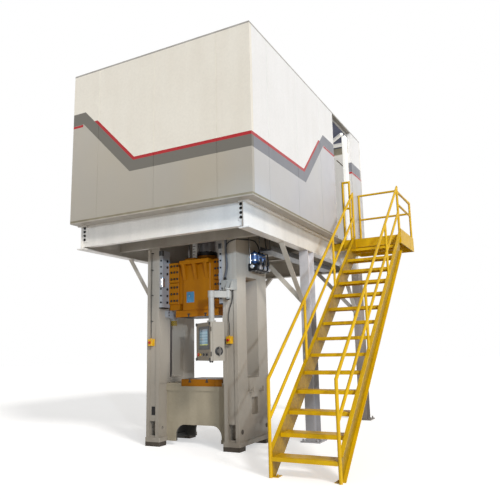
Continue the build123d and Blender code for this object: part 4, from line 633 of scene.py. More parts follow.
def block(limits: Sequence[float], corner: float = 4, edge: float = 2) -> Skin:
    """Rounded block between two corners: a rounded rectangle carried up, drawn in by edge (1 - sin p) at its ends.

    Args:
        limits: x, y and z of one corner, then of the other.
        corner: radius of the upright corners.
        edge: radius of the edges round the top and the bottom.
    """
    low, high = np.sort(np.reshape(limits, (2, 3)), axis=0)
    width, depth, height = high - low
    corner = min(corner, width / 2.01, depth / 2.01)
    edge = min(edge, corner * 0.95, height / 2.01)
    p = np.linspace(0, math.pi / 2, 3)
    inset = np.concatenate([edge * (1 - np.sin(p)), edge * (1 - np.sin(p[::-1]))])
    level = np.concatenate([edge * (1 - np.cos(p)), height - edge * (1 - np.cos(p[::-1]))])
    rows = [
        np.column_stack([outline(width - 2 * i, depth - 2 * i, corner - i), np.full(4 * CORNER_POINTS, z)])
        for i, z in zip(inset, level)
    ]
    middle = (low + high) / 2
    return closed(np.stack(rows) + np.array([middle[0], middle[1], low[2]]))


def along(path: Sequence[Point] | np.ndarray, section: np.ndarray, side: Sequence[float] = UP,
          swell: np.ndarray | float = 1.0) -> Skin:
    """A section of (a, b) carried along a path: p + s (a u + b w), with w near the side and u square to both.

    Args:
        path: points of the path in order.
        section: outline points of (a, b).
        side: direction that the section's b keeps to.
        swell: the scale s, or one for each point.
    """
    points = np.asarray(path, float)
    run = np.gradient(points, axis=0)
    run /= np.linalg.norm(run, axis=1, keepdims=True)
    across = np.cross(run, np.array(side))
    across /= np.linalg.norm(across, axis=1, keepdims=True)
    lift = np.cross(across, run)
    a, b = section[None, :, :1], section[None, :, 1:]
    return closed(points[:, None] + swell * (a * across[:, None] + b * lift[:, None]))


def ring(radius: float, count: int = 12) -> np.ndarray:
    """Circle as a section: radius (cos t, sin t)."""
    t = np.linspace(0, 2 * math.pi, count, endpoint=False)
    return radius * np.stack([np.cos(t), np.sin(t)], -1)


class Head(Enum):
    """Kinds of fastener head, each by its profile for a radius of 1: rows of radius, height and 1 for flats."""

    HEX = ((1.25, 0), (1.25, 0.12), (1, 0.14, 1), (1, 0.66, 1), (0.86, 0.78))
    SOCKET = ((1, 0), (1, 0.5), (0.92, 0.58), (0.55, 0.58, 1), (0.52, 0.2, 1))
    DOME = ((1, 0), (0.94, 0.25), (0.7, 0.46), (0.35, 0.56), (0.1, 0.58))
    STUD = ((1.7, 0), (1.7, 0.2), (1.4, 0.22, 1), (1.4, 1.2, 1), (0.8, 1.25), (0.78, 2.1), (0.6, 2.2))

    def skin(self, size: float) -> Skin:
        """The head with that radius, standing on Z = 0."""
        return turned([(size * row[0], size * row[1], *row[2:]) for row in self.value], 18, 6)


class Workshop:
    """Dresses the CAD nodes, and turns skins into pieces that ride on a body of the press."""

    def __init__(self) -> None:
        """Starts with no material and no piece made."""
        self.made: dict[str, Material] = {}
        self.count = 0

    def material(self, name: str) -> Material:
        """The material of a finish, made once."""
        if name not in self.made:
            self.made[name] = FINISHES[name].material()
        return self.made[name]

    def dress(self, nodes: dict[str, Object]) -> None:
        """Gives every CAD node its finish.

        Args:
            nodes: the CAD nodes by name.
        """
        bare = set(nodes)
        for finish, names in NODE_FINISH.items():
            for name in names.split():
                nodes[name].data.materials.clear()
                nodes[name].data.materials.append(self.material(finish))
                bare.discard(name)
        LOG.info("CAD nodes dressed: %d, replaced by cords: %s", len(nodes) - len(bare), ", ".join(sorted(bare)))

    def piece(self, name: str, skins: Skin | Iterable[Skin], finish: str = "black_steel", body: str = "base",
              slot: str | None = None, crease: float = 32.0) -> Object:
        """Makes a piece of one or several skins.

        Args:
            name: the piece's name.
            skins: its surfaces.
            finish: name of its finish.
            body: CAD body that it rides on.
            slot: the record's material slot, where it has one; not used.
            crease: angle in degrees past which an edge stays sharp.

        Returns:
            The new object, at the origin.
        """
        skin = skins if isinstance(skins, Skin) else joined(skins)
        mesh = bpy.data.meshes.new(name)
        mesh.from_pydata((skin.points / 1000).tolist(), [], skin.quads.tolist() + skin.tris.tolist())
        mesh.polygons.foreach_set("use_smooth", np.ones(len(mesh.polygons), dtype=bool))
        mesh.set_sharp_from_angle(angle=math.radians(crease))
        mesh.materials.append(self.material(finish))
        mesh.update()
        piece = stand(name, mesh)
        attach(piece, body)
        self.count += 1
        LOG.info("piece %s on %s: %d faces", name, body, len(mesh.polygons))
        return piece

    def heads(self, name: str, kind: Head, size: float, places: Iterable[Matrix], *dress: str,
              slot: str | None = None) -> None:
        """Makes a piece of fastener heads.

        Args:
            name: the piece's name.
            kind: kind of head.
            size: radius of a head.
            places: where each stands.
            dress: finish and body, as in piece().
            slot: as in piece().
        """
        self.piece(name, [kind.skin(size).placed(place) for place in places], *dress, slot=slot)

    def blocks(self, name: str, boxes: Iterable[Sequence[float]], corner: float = 4, edge: float = 2,
               *dress: str, slot: str | None = None) -> None:
        """Makes a piece of rounded blocks, with the same dress as heads() takes."""
        self.piece(name, [block(box, corner, edge) for box in boxes], *dress, slot=slot)


# Cables and hoses


@dataclass(frozen=True)
class Route:
    """A free cable or hose: the route's points, its diameter and its facts."""

    name: str
    node: str
    points: tuple[Point, ...]
    diameter: float
    length: float
    finish: str
    stiffness: str
    lay: str = "hanging"


INSIDE_X = 0.565
CONDUIT_Y = -0.5013
STOP_X = 0.678
STOP_Y = -0.505
HOSE_X = 0.867
RIB_PITCH = 7.5
RIB_HEIGHT = 1.1
RIB_END = 12
ROUTES: tuple[Route, ...] = (
    Route("pendant_conduit_flex", "pendant_conduit",
          tuple((INSIDE_X + x, CONDUIT_Y, z) for x, z in (
              (0.068, 3.250), (0.068, 3.100), (0.066, 2.950), (0.067, 2.820), (0.076, 2.700), (0.084, 2.590),
              (0.074, 2.500), (0.053, 2.430), (0.053, 2.379))),
          0.032, 0.88, "conduit_grey", "stiff"),
    Route("stop_cable_right_flex", "stop_cable_right",
          tuple((STOP_X + x, STOP_Y + y, z) for x, y, z in (
              (0.059, 0.013, 2.223), (0.059, 0.013, 2.140), (0.036, 0.010, 2.035), (-0.006, 0.006, 1.930),
              (-0.018, 0.005, 1.820), (0.002, 0.003, 1.730), (0.0, 0.0, 1.650), (0.0, 0.0, 1.579))),
          0.012, 0.66, "cable_black", "medium"),
    Route("top_hose_flex", "top_hose",
          tuple((HOSE_X, y, z) for y, z in (
              (0.340, 3.250), (0.340, 3.130), (0.356, 3.010), (0.402, 2.890), (0.436, 2.775), (0.438, 2.690),
              (0.412, 2.622), (0.362, 2.5915), (0.300, 2.5915))),
          0.018, 0.77, "hose_black", "medium"),
)


class Assembly:
    """A group of pieces of the press."""

    def __init__(self, shop: Workshop) -> None:
        """Keeps the workshop."""
        self.shop = shop

    def build(self) -> None:
        """Makes the group's pieces."""
        raise NotImplementedError


class Cables(Assembly):
    """The free cables and hoses of the press."""

    def curve(self, route: Route) -> Object:
        """Smooth curve through a route, thickened to the cable's diameter.

        Args:
            route: the cable's facts.

        Returns:
            The curve object.
        """
        data = bpy.data.curves.new(route.name, "CURVE")
        data.dimensions = "3D"
        spline = data.splines.new("NURBS")
        spline.points.add(len(route.points) - 1)
        spline.points.foreach_set("co", np.column_stack([route.points, np.ones(len(route.points))]).ravel())
        spline.order_u = 3
        spline.use_endpoint_u = True
        spline.resolution_u = 10
        data.bevel_depth = route.diameter / 2
        data.bevel_resolution = 5
        data.use_fill_caps = True
        data.materials.append(self.shop.material(route.finish))
        cable = stand(route.name, data)
        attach(cable, "base")
        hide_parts(route.node)
        return cable

    def line(self, cable: Object) -> np.ndarray:
        """Points of the cable's centreline in millimetres, read from its curve with no thickness."""
        thick, cable.data.bevel_depth = cable.data.bevel_depth, 0.0
        bpy.context.view_layer.update()
        mesh = bpy.data.meshes.new_from_object(cable.evaluated_get(bpy.context.evaluated_depsgraph_get()))
        cable.data.bevel_depth = thick
        points = np.empty(len(mesh.vertices) * 3)
        mesh.vertices.foreach_get("co", points)
        bpy.data.meshes.remove(mesh)
        return 1000 * points.reshape(-1, 3)

    def corrugation(self, cable: Object, diameter: float) -> Object:
        """Ribs round a flexible conduit: radius r + h (1 + sin(2 pi s / pitch)) / 2 at the length s along it."""
        line = self.line(cable)
        reach = np.concatenate([[0], np.cumsum(np.linalg.norm(np.diff(line, axis=0), axis=1))])
        s = np.arange(RIB_END, reach[-1] - RIB_END, RIB_PITCH / 5)
        centre = np.stack([np.interp(s, reach, line[:, k]) for k in range(3)], -1)
        radius = 500 * diameter + 0.1 + RIB_HEIGHT * (1 + np.sin(2 * math.pi * s / RIB_PITCH)) / 2
        ribs = along(centre, ring(1.0, 16), -FRONT, radius[:, None, None])
        return self.shop.piece("conduit_ribs", ribs, "conduit_grey", slot="cable_black", crease=60)

    def build(self) -> None:
        for route in ROUTES:
            cable = self.curve(route)
            if route.node == "pendant_conduit":
                self.corrugation(cable, route.diameter)
            LOG.info("cable %s declared", route.name)
        gland = turned([(26, 0, 1), (26, 14, 1), (21, 16), (21, 26), (17.5, 34)], 18, 6)
        self.shop.piece("conduit_glands", [gland.at((618, -501.3, 2379), UP),
                                           gland.at((633, -501.3, 3249.5), -UP)])
        sleeve = turned([(14.5, 0, 1), (14.5, 20, 1), (12, 22), (11.5, 40)], 18, 6)
        self.shop.piece("hose_ends", [sleeve.at((867, 300.5, 2591.5), -FRONT),
                                      sleeve.at((867, 340, 3249.5), -UP)], "bright_pin")
        small = turned([(12, 0, 1), (12, 8, 1), (9.5, 10), (8.5, 16)], 18, 6)
        self.shop.piece("stop_cable_gland", small.at((737, -492, 2222.5), -UP))


# The press


class Guides(Assembly):
    """Fastenings of the guide housings and of the slide's guide plates."""

    HOUSING_LEVELS = (2768, 2671, 2566, 2327, 2223, 2120)
    PLATE_LEVELS = (2688, 2590, 2484, 2353, 2252, 2145)
    PLATE_X = (-455, -400, -346, 346, 400, 455)

    def build(self) -> None:
        """Screws with bright points, cup, foot bars, caps and oil lines of the housings, and the plates' screws."""
        shop = self.shop
        holes = tuple(product(BOTH, (-368, 368), self.HOUSING_LEVELS))
        for name, kind, size, x, finish in (
            ("housing_screws", Head.SOCKET, 20, 505.3, "black_steel"),
            ("housing_screw_points", Head.DOME, 7, 500.8, "bright_pin"),
        ):
            shop.heads(name, kind, size, [seat((side * x, y, z), RIGHT * -side) for side, y, z in holes], finish)
        cup = turned([(38, 0), (43, 4), (43, 20), (39, 24), (39, 114), (43, 118), (43, 134), (38, 138)], 28)
        shop.piece("housing_cups", cup.at((-521, -481, 2352)), "bright_pin", slot="ram_chrome")
        bars = [(side * 568, -489, 2030.5, side * 503.5, -330, 2043.5) for side in BOTH]
        shop.blocks("housing_foot_bars", bars, 3, 1)
        caps = [block((side * x, y, 2842.5, side * to_x, to_y, 2923), corner, edge)
                for side in BOTH for x, to_x, y, to_y, corner, edge in (
                    (561, 510, -507.6, -505.6, 3, 0.6), (505.2, 503.6, -502, -462, 0.6, 0.3))]
        shop.piece("housing_caps", caps, "bezel_dark")
        fronts = seats((-535, 535), (-485.5,), self.HOUSING_LEVELS, FRONT)
        shop.heads("housing_front_screws", Head.SOCKET, 14, fronts)
        lines = [along([(x, -489, 2055), (x, -489, 2390)], ring(3, 8), RIGHT) for x in (-512, 512)]
        shop.piece("housing_oil_lines", lines, "bright_pin")
        for name, kind, size, y, finish in (
            ("guide_plate_screws", Head.SOCKET, 17.5, 320, "black_steel"),
            ("guide_plate_screw_points", Head.DOME, 4, 323, "bright_pin"),
        ):
            places = [m for way in BOTH for m in seats(self.PLATE_X, (way * y,), self.PLATE_LEVELS, (0, way, 0))]
            shop.heads(name, kind, size, places, finish, "slide")


def slot_shadows(y: float, z: float, way: int) -> list[Skin]:
    """Painted shade: dark blocks in two T-slots' ends, front and back, necks at height z and heads on the side way
    says.
    """
    return [block((sx * 150 - half, sy * y - 8, z + way * near, sx * 150 + half, sy * y + 8, z + way * far), 1, 0.5)
            for sx, sy in product(BOTH, BOTH) for half, near, far in ((14.3, 0, 30.2), (25.3, 29.8, 51.8))]


class SlideFittings(Assembly):
    """Small pieces on the slide, its rod block and its scale."""

    def build(self) -> None:
        """Makes the bare plate, the wiper, the screws, the lugs' webs and the scale's marks."""
        shop = self.shop
        shop.blocks("slide_bare_plate", [(-175, -321, 2104, -35, -314.5, 2269)], 4, 1, "blued_plate", "slide")
        rivets = seats((-166, -44), (-320.5,), (2113, 2260), FRONT)
        rivets.append(seat((-118, -326.5, 2205), FRONT) @ Matrix.Scale(2.2, 4))
        shop.heads("slide_plate_rivets", Head.DOME, 4, rivets, "bright_pin", "slide")
        wiper = turned([(166, 0), (168, 3), (168, 42), (164, 46), (149.5, 46)], 48)
        shop.piece("rod_wiper", wiper.at((0, 0, 2860.5)), "mark_black", "slide")
        shop.heads("ring_screws", Head.HEX, 6, seats_round(158, 2906.3, 12), "black_steel", "slide")
        # Dark blocks in the T-slots' ends, as painted shade.
        shop.piece("slide_slot_shadows", slot_shadows(290, 1888.5, 1), "mark_black", "slide")
        cap = seats((-182, -112, -24), (-315, -229), (2788,))
        shop.heads("rod_block_screws", Head.SOCKET, 8, cap, "black_steel", "slide")
        webs = [(side * 258, -235, 1995, side * 430, -205, 2100) for side in BOTH]
        shop.blocks("lug_webs", webs, 4, 2, "slide_paint", "slide", slot="slide_paint")
        collar = turned([(28, 0), (30, 2), (30, 18), (21.5, 22)])
        shop.piece("side_rod_collar", collar.at((-165, -262, 2788)), "black_steel", "slide")
        marks = [(-92, -269.4, 2840 + 45 * k, (-60, -42)[k % 2], -268.2, 2852 + 45 * k) for k in range(9)]
        shop.blocks("scale_marks", marks, 0.5, 0.3, "mark_black", "slide")


class FrameFittings(Assembly):
    """Small pieces on the side frames, the bed and the feet."""

    def sides(self) -> None:
        """Striped sleeve under the ledge, the ledge's screws, a cover plate and the switch beside the slide."""
        shop = self.shop
        shop.blocks("stop_sleeve", [(-567, -172.5, 1772, -509.5, -90.5, 1850)], 4, 2, "warning_stripes")
        flat = Matrix.Diagonal((1, 1, 0.4, 1))
        places = [m @ flat for m in seats((-511,), (-305, -100), (1925, 1970), RIGHT)]
        shop.heads("ledge_screws", Head.HEX, 11, places)
        shop.blocks("left_post_plate", [(-703, -473.5, 443, -634, -469.5, 568)], 3, 1)
        shop.blocks("switch_bracket", [(470, -372, 2460, 505, -325, 2600), (435, -368, 2515, 470, -332, 2550)],
                    4, 2, "plate_orange", "slide", slot="slide_paint")
        plunger = turned([(6, 0), (6, 22), (9, 24), (9, 34), (4, 38)])
        body = block((474, -398, 2475, 502, -373, 2555), 5)
        shop.piece("switch_body", [body, plunger.at((488, -385, 2556))], "black_steel", "slide")

    def feet(self) -> None:
        """Anchor studs, jacking screws, the frames' lifting bosses and the backs of the pockets in the posts."""
        shop = self.shop
        shop.heads("foot_anchors", Head.STUD, 14.5, seats((-683.5, 683.5), (-402.5, 402.5), (125,)))
        jacks = seats((-770, -600, 600, 770), (-455, 455), (125,))
        shop.heads("jacking_screws", Head.HEX, 13, jacks, "pad_dark")
        rim = turned([(32, 0), (34, 2), (34, 4), (27.5, 5), (26.5, 1)])
        bosses = [rim.at((side * 792.5, y, 256), RIGHT * side) for side in BOTH for y in (-384, 384)]
        shop.piece("lifting_bosses", bosses, "pad_dark")
        plates = []
        for side in BOTH:
            plates += [block((side * 624.5, y - 3, 148, side * 742.5, y + 3, 372), 1, 0.5) for y in (-366, 366)]
            plates.append(block((side * 735.5, -100, 443, side * 742.5, 125, 709), 3, 1))
        shop.piece("pocket_linings", plates, "frame_paint", slot="frame_paint")

    def bed(self) -> None:
        """Screws of the bed's face and of the bolster, the bolster's side block, and dark blocks as painted shade in
        its slots' ends.
        """
        shop = self.shop
        shop.heads("bed_screws", Head.SOCKET, 12, seats((-540, -360, 360, 540), (-250, 250), (905,)))
        keys = [seat((side * 300.5, y, 905), RIGHT * side) for side in BOTH for y in (-200, 200)]
        shop.heads("bolster_screws", Head.SOCKET, 11, keys)
        shop.blocks("bolster_side_block", [(299.5, -286.5, 856.2, 415, -215, 960)], 4, 2, "bolster_paint",
                    slot="slide_paint")
        shop.piece("bolster_slot_shadows", slot_shadows(265, 959.5, -1), "mark_black")

    def rear(self) -> None:
        """Screws round the rear guard and its two stiffeners."""
        places = seats((-600, 600), (491,), np.arange(2060, 3200, 200), -FRONT)
        self.shop.heads("guard_screws", Head.DOME, 11, places)
        bars = [(x - 20, 490.5, 2050, x + 20, 498.5, 3200) for x in (-210, 210)]
        self.shop.blocks("guard_stiffeners", bars, 3, 1, "guard_paint", slot="guard_paint")

    def build(self) -> None:
        """Makes all of them."""
        self.sides()
        self.feet()
        self.bed()
        self.rear()


class Hydraulics(Assembly):
    """Valves, plugs, pipes and gauges of the valve block on the right side frame."""

    BOTTLE_X = 867
    ROWS = (-40, 96, 232)
    RETURN_LINE = (
        (640, -494, 2860), (652, -494.5, 2912), (700, -495, 2938), (760, -495, 2953),
        (797, -488, 2962), (807, -450, 2968), (808, -250, 2990), (808, -50, 3020),
        (808, 100, 3026), (808, 190, 2985), (808, 250, 2910), (808, 285, 2800),
        (808, 288, 2645),
    )

    def build(self) -> None:
        """Makes the valves and their coils, the port plugs, the bottle straps, the pipes and the gauge."""
        shop = self.shop
        for name, finish, x, to_x, half, z, to_z, corner, edge in (
            ("valve_bodies", "bright_pin", 941.5, 987, 28, 2556, 2628, 4, 2),
            ("valve_coils", "button_black", 952, 982, 22, 2627.5, 2700, 7, 3),
            ("valve_plugs", "cable_black", 956, 978, 14, 2699.5, 2724, 4, 2),
        ):
            shop.blocks(name, [(x, y - half, z, to_x, y + half, to_z) for y in self.ROWS], corner, edge, finish)
        ports = seats((830, 900), (-70, 40, 150, 260), (2539.1,), -UP)
        shop.heads("port_plugs", Head.HEX, 12, ports, "bright_pin")
        tie = turned([(52.5, 0), (54.5, 1), (54.5, 17), (52.5, 18)], 28)
        straps = [tie.at((self.BOTTLE_X, y, z)) for y in self.ROWS for z in (2690, 2775)]
        shop.piece("bottle_straps", straps, "bright_pin")
        cap = turned([(17, 0, 1), (17, 10, 1), (10, 12), (10, 20)], 18, 6)
        shop.piece("bottle_caps", [cap.at((self.BOTTLE_X, y, 2829.5)) for y in self.ROWS])
        shop.blocks("bottle_backing", [(791.5, -100, 2660, 800, 290, 2800)], 4, 2, "frame_paint", slot="frame_paint")
        pipes = [
            along([(815, y, 2645), (815, y, 2780), (812, y - 10, 2840), (806, y - 20, 2920),
                   (806, y - 20, 3249)], ring(8, 10), FRONT)
            for y in (-72, 282)
        ]
        shop.piece("rising_pipes", pipes, "bright_pin")
        loop = np.array(self.RETURN_LINE)
        steps = np.linspace(0, len(loop) - 1, 8 * len(loop))
        smooth = np.stack([np.interp(steps, np.arange(len(loop)), loop[:, k]) for k in range(3)], -1)
        for _ in range(6):
            smooth[1:-1] = (smooth[:-2] + 2 * smooth[1:-1] + smooth[2:]) / 4
        shop.piece("oil_return_line", along(smooth, ring(8.5), (0.3, 0.2, 1)), "hose_black")
        body = turned([(30, 0), (33, 3), (33, 18), (30, 20), (28, 17.5)])
        shop.piece("pressure_gauge", body.at((self.BOTTLE_X, -108.5, 2600), FRONT), "bright_pin")
        dial = turned([(27.5, 0), (27.5, 1.5), (20, 2)])
        shop.piece("gauge_dial", dial.at((self.BOTTLE_X, -126.2, 2600), FRONT), "scale_white")


class Pendant(Assembly):
    """Dressing of the operator's box, in the box's own frame, whose front faces its -Y."""

    TURN = math.radians(-35)
    CENTRE = (543.7, -768.9, 0)
    CONTROL_Z = 1322
    FRONT_PLATE = ((-243, 1700, 243, 1748), (-243, 1247, 243, 1298.5), (-243, 1345.5, 243, 1391),
                   (-243, 1391, -154, 1700), (216, 1391, 243, 1700))
    CONTROL_STRIP = tuple((a, 1298.5, b, 1345.5) for a, b in (
        (-243, -192), (-132, -102), (-54, 1), (49, 105), (153, 243)))

    def put(self, name: str, skins: Iterable[Skin], finish: str = "black_steel", slot: str | None = None) -> None:
        """Makes a piece on the box from skins in the box's own frame."""
        place = Matrix.Translation(self.CENTRE) @ Matrix.Rotation(self.TURN, 4, "Z")
        self.shop.piece(name, joined(skins).placed(place), finish, "control_box", slot)

    def build(self) -> None:
        """Makes the front plate, the screen's page, the corner fasteners, the rings and the hinges."""
        for name, plates in (("front_plate", self.FRONT_PLATE), ("control_strip", self.CONTROL_STRIP)):
            self.put(name, [block((x, -128, z, to_x, -124.2, to_z), 1.8, 0.8) for x, z, to_x, to_z in plates],
                     "screen_plastic", "box_paint")
        self.put("screen_glass_pane", [block((-109.5, -134.5, 1446.5, 168.5, -130.8, 1662.5), 2, 0.8)], "screen_glass")
        knob = turned([(21, 0), (23, 2), (23, 8), (18, 11), (7, 11), (7, 9)])
        corners = [knob.at((x, -127.5, z), FRONT) for x in (-230, 230) for z in (1260, 1735)]
        self.put("corner_fasteners", corners, "button_black")
        ring_round = turned([(30, 0), (31, 1), (31, 2.5), (13.5, 3), (13.5, 0.5)], 28)
        self.put("stop_ring", [ring_round.at((-162, -124.5, self.CONTROL_Z), FRONT)], "stop_yellow")
        bezel = turned([(20.5, 0), (21, 1), (21, 4), (18.2, 4.8), (18.2, 1)], 24)
        self.put("bezel_rings", [bezel.at((x, -124.2, self.CONTROL_Z), FRONT) for x in (-78, 25, 129)], "bright_pin")
        hinge = turned([(5, 0), (6, 1), (6, 59), (5, 60)])
        self.put("door_hinges", [hinge.at((252, -118, z)) for z in (1300, 1630)])
        seam = [block((side * 249.6, -94, 1250, side * 251.2, -91, 1745), 0.5, 0.3) for side in BOTH]
        self.put("door_gasket", seam, "cable_black")
        disc = turned([(60, 0), (60, 0.6), (59.5, 0.7)], 40)
        self.put("handle_plate", [disc.at((249.5, -3, 1365), RIGHT)], "mark_black")
        gland = turned([(17, 0, 1), (17, 12, 1), (13, 14), (12, 30)], 18, 6)
        self.put("box_glands", [gland.at((x, 30, 1240.2), -UP) for x in (-120, -50)], "button_black")
        self.put("collar_screws", [Head.SOCKET.skin(4.5).placed(place) for place in seats_round(50, 1773, 6)])
        cap = turned([(33, 0), (34, 2), (30, 12), (12, 16)])
        self.shop.piece("pivot_cap", cap.at((690, -560, 2095), -UP))
        lever = turned([(6, 0), (6, 28), (11, 32), (11, 44), (6, 48)])
        self.shop.piece("arm_clamp", lever.at((660, -663, 2202), UP), "black_steel", "arm")


class DeckSteel(Assembly):
    """Bolts of the deck's beams, braces and columns, its web stiffeners and the tray's cables."""

    BEAM_X = (-1333, 1410)
    COLUMN_Y = (723, 3460)
    BRACE_SLOPE = math.radians(47.5)

    def build(self) -> None:
        """Makes them."""
        shop = self.shop
        ends = seats((-1300, 1352), (-1350,), (3040, 3100, 3160, 3212), FRONT)
        shop.heads("front_beam_bolts", Head.HEX, 17, ends)
        bolts = [seat((x - 29, y - 129.5 - run * math.cos(self.BRACE_SLOPE), 1996 + run * math.sin(self.BRACE_SLOPE)),
                      RIGHT) for x, y, run in product(self.BEAM_X, self.COLUMN_Y, (55, 1200))]
        shop.heads("brace_bolts", Head.HEX, 16, bolts)
        stiff = [(x + way * 4.5, y, 2908, x + way * 73, y + 10, 3234)
                 for x, way in zip(self.BEAM_X, (1, -1)) for y in (720, 3455)]
        shop.blocks("web_stiffeners", stiff, 2, 1, "beam_paint", slot="deck_paint")
        caps = [seat((x + sx * 45, y + sy * 90, 2907))
                for x, y, sx, sy in product(self.BEAM_X, self.COLUMN_Y, BOTH, BOTH)]
        shop.heads("column_cap_bolts", Head.HEX, 14, caps)
        y = np.linspace(-115, 2595, 60)
        cables = []
        for k, radius in enumerate((12, 9, 14, 10, 12, 8)):
            x = 1030 + 28 * k + 4 * np.sin(y / 1000 * (2.1 + 0.3 * k) + k)
            cables.append(along(np.stack([x, y, np.full_like(y, 2810.5 + radius)], -1), ring(radius, 10)))
        shop.piece("tray_cables", cables, "cable_black")
        nuts = seats((1019, 1181), -120 + 906.7 * (np.arange(3) + 0.35), (2810.2,))
        shop.heads("tray_nuts", Head.HEX, 12, nuts, "galvanised")


class EnclosureTrim(Assembly):
    """Trim of the raised enclosure: base flashing, and what shows in the doorway."""

    def build(self) -> None:
        """Makes the folded angle round the foot of the walls, and the doorway's lining, rails, tie and post."""
        shop = self.shop
        strips = [block((x, y, 3264.5, to_x, to_y, 3292), corner, 1) for x, y, to_x, to_y, corner in (
            (-1411.5, -1543.5, 1628.5, -1539.5, 1.8), (-1411.2, 3420, 1628.2, 3423.2, 1.5),
            (-1411.3, -1543, -1408.5, 3423, 1.3), (1625.5, -1543, 1628.3, 1706, 1.3))]
        shop.piece("base_flashing", strips, "roof_trim", slot="deck_paint")
        # The doorway's ceiling, lining, rails and post glow as painted light.
        for name, limits, corner, edge, finish in (
            ("doorway_ceiling", (1020, 1720, 5502, 1560, 3300, 5508), 2, 1, "lit_lining_dark"),
            ("doorway_rear_lining", (900, 3346, 3270, 1560, 3354, 5370), 2, 1, "lit_white"),
            ("doorway_top_rail", (900, 3305, 5370, 1560, 3352, 5500), 4, 2, "lit_olive"),
        ):
            shop.blocks(name, [limits], corner, edge, finish)
        shop.piece("doorway_edge_rail", [
            block((900, 3020, 5470, 1560, 3160, 5501)),
            along([(1240, 2815, 5478), (1540, 2515, 5478)], outline(60, 45, 6)),
        ], "lit_white")
        shop.piece("doorway_tie", along([(1150, 3338, 5262), (1355, 3338, 5028)], ring(10), RIGHT), "roof_trim")
        shop.blocks("doorway_post", [(1490, 2660, 3266, 1562, 2783, 5500)], 4, 2, "lit_white")


class StairDetails(Assembly):
    """Nosing strips and bolts of the treads, and the pattern of the landing's floor."""

    RISER = 217.6
    GOING = 262.8
    END = 2011.5
    PITCH = 90

    def build(self) -> None:
        """Makes them."""
        shop = self.shop
        nosings, bolts = [], []
        for step, k in product(range(1, 15), range(2)):
            z = self.RISER * step
            y = self.END - self.GOING * (15 - step)
            nosings.append((1860, y + 12 + 30 * k, z - 0.2, 2584, y + 26 + 30 * k, z + 1.8))
            bolts += [seat((x, y + 60 + 120 * k, z - 22), RIGHT * side) for side, x in ((-1, 1855.5), (1, 2588.5))]
        shop.blocks("tread_nosings", nosings, 2, 0.8, "stair_yellow", slot="stair_yellow")
        shop.heads("tread_bolts", Head.HEX, 9, bolts, "stair_yellow", slot="stair_yellow")
        bars = [seat((x, y, 3263.8)) @ Matrix.Rotation(0.8 if k % 2 else -0.8, 4, "Z") for k, (y, x) in enumerate(
            product(np.arange(2100, 3020, self.PITCH), np.arange(1700, 2560, self.PITCH)))]
        lozenge = block((-16, -5, 0, 16, 5, 2.2), 4.8, 1.8)
        shop.piece("landing_tread_pattern", [lozenge.placed(bar) for bar in bars], "stair_yellow", slot="stair_yellow")


# Studio


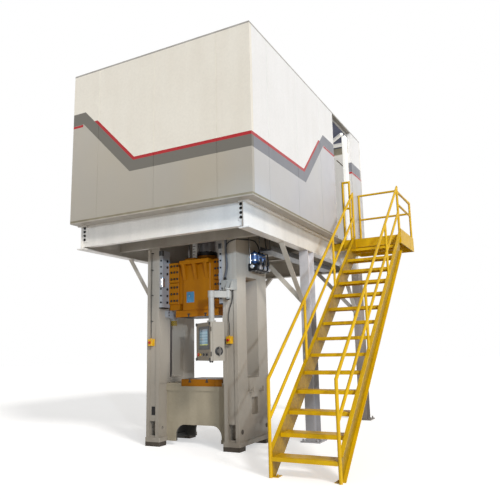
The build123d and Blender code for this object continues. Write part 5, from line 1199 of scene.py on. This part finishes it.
class Studio:
    """Camera at the photograph's view, pale floor and soft light."""

    EYE = (4.5743, -7.3532, 1.3786)
    YAW = -0.477
    PITCH = 0.179
    ROLL = -0.022
    LENS = 39.56
    FLOOR_RADIUS = 60.0
    FLOOR_GLOW = 0.52

    def camera(self) -> None:
        """Stands the camera at the eye, turned by its yaw, pitch and roll."""
        ahead = Vector((math.sin(self.YAW) * math.cos(self.PITCH), math.cos(self.YAW) * math.cos(self.PITCH),
                        math.sin(self.PITCH)))
        level = Vector((math.cos(self.YAW), -math.sin(self.YAW), 0))
        above = level.cross(ahead)
        right = level * math.cos(self.ROLL) + above * math.sin(self.ROLL)
        up = above * math.cos(self.ROLL) - level * math.sin(self.ROLL)
        data = bpy.data.cameras.new("camera")
        data.lens, data.sensor_width, data.sensor_fit, data.clip_end = self.LENS, 36.0, "HORIZONTAL", 200.0
        camera = stand("camera", data)
        camera.matrix_world = Matrix.Translation(self.EYE) @ Matrix((right, up, -ahead)).transposed().to_4x4()
        bpy.context.scene.camera = camera
        bpy.context.scene.view_settings.view_transform = "Standard"

    def world(self) -> None:
        """White world for the camera, reflections and transmission, and a grey-white light for everything else."""
        world = bpy.data.worlds.new("studio")
        bpy.context.scene.world = world
        world.use_nodes = True
        nodes = Nodes(world.node_tree)
        light = nodes.tree.nodes["Background"]
        nodes.feed((1.0, 0.97, 0.92), light.inputs["Color"])
        nodes.feed(0.34, light.inputs["Strength"])
        white = nodes.node("Background", {"Color": (1, 1, 1), "Strength": 1.0})
        rays = nodes.node("LightPath").outputs
        seen = nodes.maths("MAXIMUM", rays["Is Camera Ray"], rays["Is Glossy Ray"])
        share = nodes.maths("MAXIMUM", seen, rays["Is Transmission Ray"])
        mix = nodes.node("MixShader", {0: share, 1: light.outputs[0], 2: white.outputs[0]})
        nodes.feed(mix.outputs[0], nodes.tree.nodes["World Output"].inputs[0])

    def floor(self) -> None:
        """Round pale floor: (r cos t, r sin t, 0), which the camera sees as white apart from the shadow."""
        disc = ring(self.FLOOR_RADIUS, 96)
        mesh = bpy.data.meshes.new("floor")
        mesh.from_pydata([(x, y, -0.0005) for x, y in disc.tolist()], [], [list(range(len(disc)))])
        floor = stand("floor", mesh)
        pen = Pen("floor")
        rays = pen.node("LightPath").outputs
        seen = pen.maths("MAXIMUM", rays["Is Camera Ray"], rays["Is Glossy Ray"])
        glow = pen.node("Emission", {"Strength": pen.maths("MULTIPLY", seen, self.FLOOR_GLOW)})
        both = pen.node("AddShader", {0: pen.shader.outputs[0], 1: glow.outputs[0]})
        pen.feed(both.outputs[0], pen.tree.nodes["Material Output"].inputs[0])
        colour = pen.mix(pen.spread(pen.noise(0.8, 3.0), 0.3, 0.7, 0.0, 1.0), (0.80, 0.80, 0.80), (0.78, 0.78, 0.79))
        mesh.materials.append(pen.finish(colour, 0.9, None, Specular_IOR_Level=0.0))

    def lamp(self, kind: str, name: str, aim: Sequence[float], energy: float, colour: Colour) -> Object:
        """New lamp of a kind that shines that way."""
        data = bpy.data.lights.new(name, kind)
        data.energy, data.color = energy, colour
        lamp = stand(name, data)
        lamp.rotation_euler = Vector(aim).to_track_quat("-Z", "Y").to_euler()
        return lamp

    def lamps(self) -> None:
        """A key from high up, a low one that gets in under the deck, and cool light on the frames' tops."""
        key = self.lamp("SUN", "key", (-1.25, 0.8, -0.9), 2.1, (1.0, 0.975, 0.94))
        key.data.angle = math.radians(10.0)
        low = self.lamp("SUN", "low", (-1.0, 1.0, -0.175), 1.1, (0.80, 0.90, 1.0))
        low.data.angle = math.radians(1.5)
        start, end = Vector((4.8, -4.8, 3.42)), Vector((0.45, -0.40, 2.60))
        wash = self.lamp("SPOT", "wash", end - start, 400.0, (0.32, 0.62, 1.0))
        wash.location = start
        wash.data.spot_size, wash.data.spot_blend, wash.data.shadow_soft_size = math.radians(21), 1.0, 0.1

    def build(self) -> None:
        """Sets up the camera, the world, the floor and the lamps."""
        self.camera()
        self.world()
        self.floor()
        self.lamps()


def main() -> None:
    """Builds the studio and every sub-assembly."""
    logging.basicConfig(level=logging.INFO, format="%(name)s: %(message)s")
    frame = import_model()
    shop = Workshop()
    Studio().build()
    shop.dress(frame["nodes"])
    for kind in (Cables, Guides, SlideFittings, FrameFittings, Hydraulics, Pendant, DeckSteel, EnclosureTrim,
                 StairDetails):
        kind(shop).build()
        LOG.info("%s done, %d pieces so far", kind.__name__, shop.count)


if __name__ == "__main__":
    main()
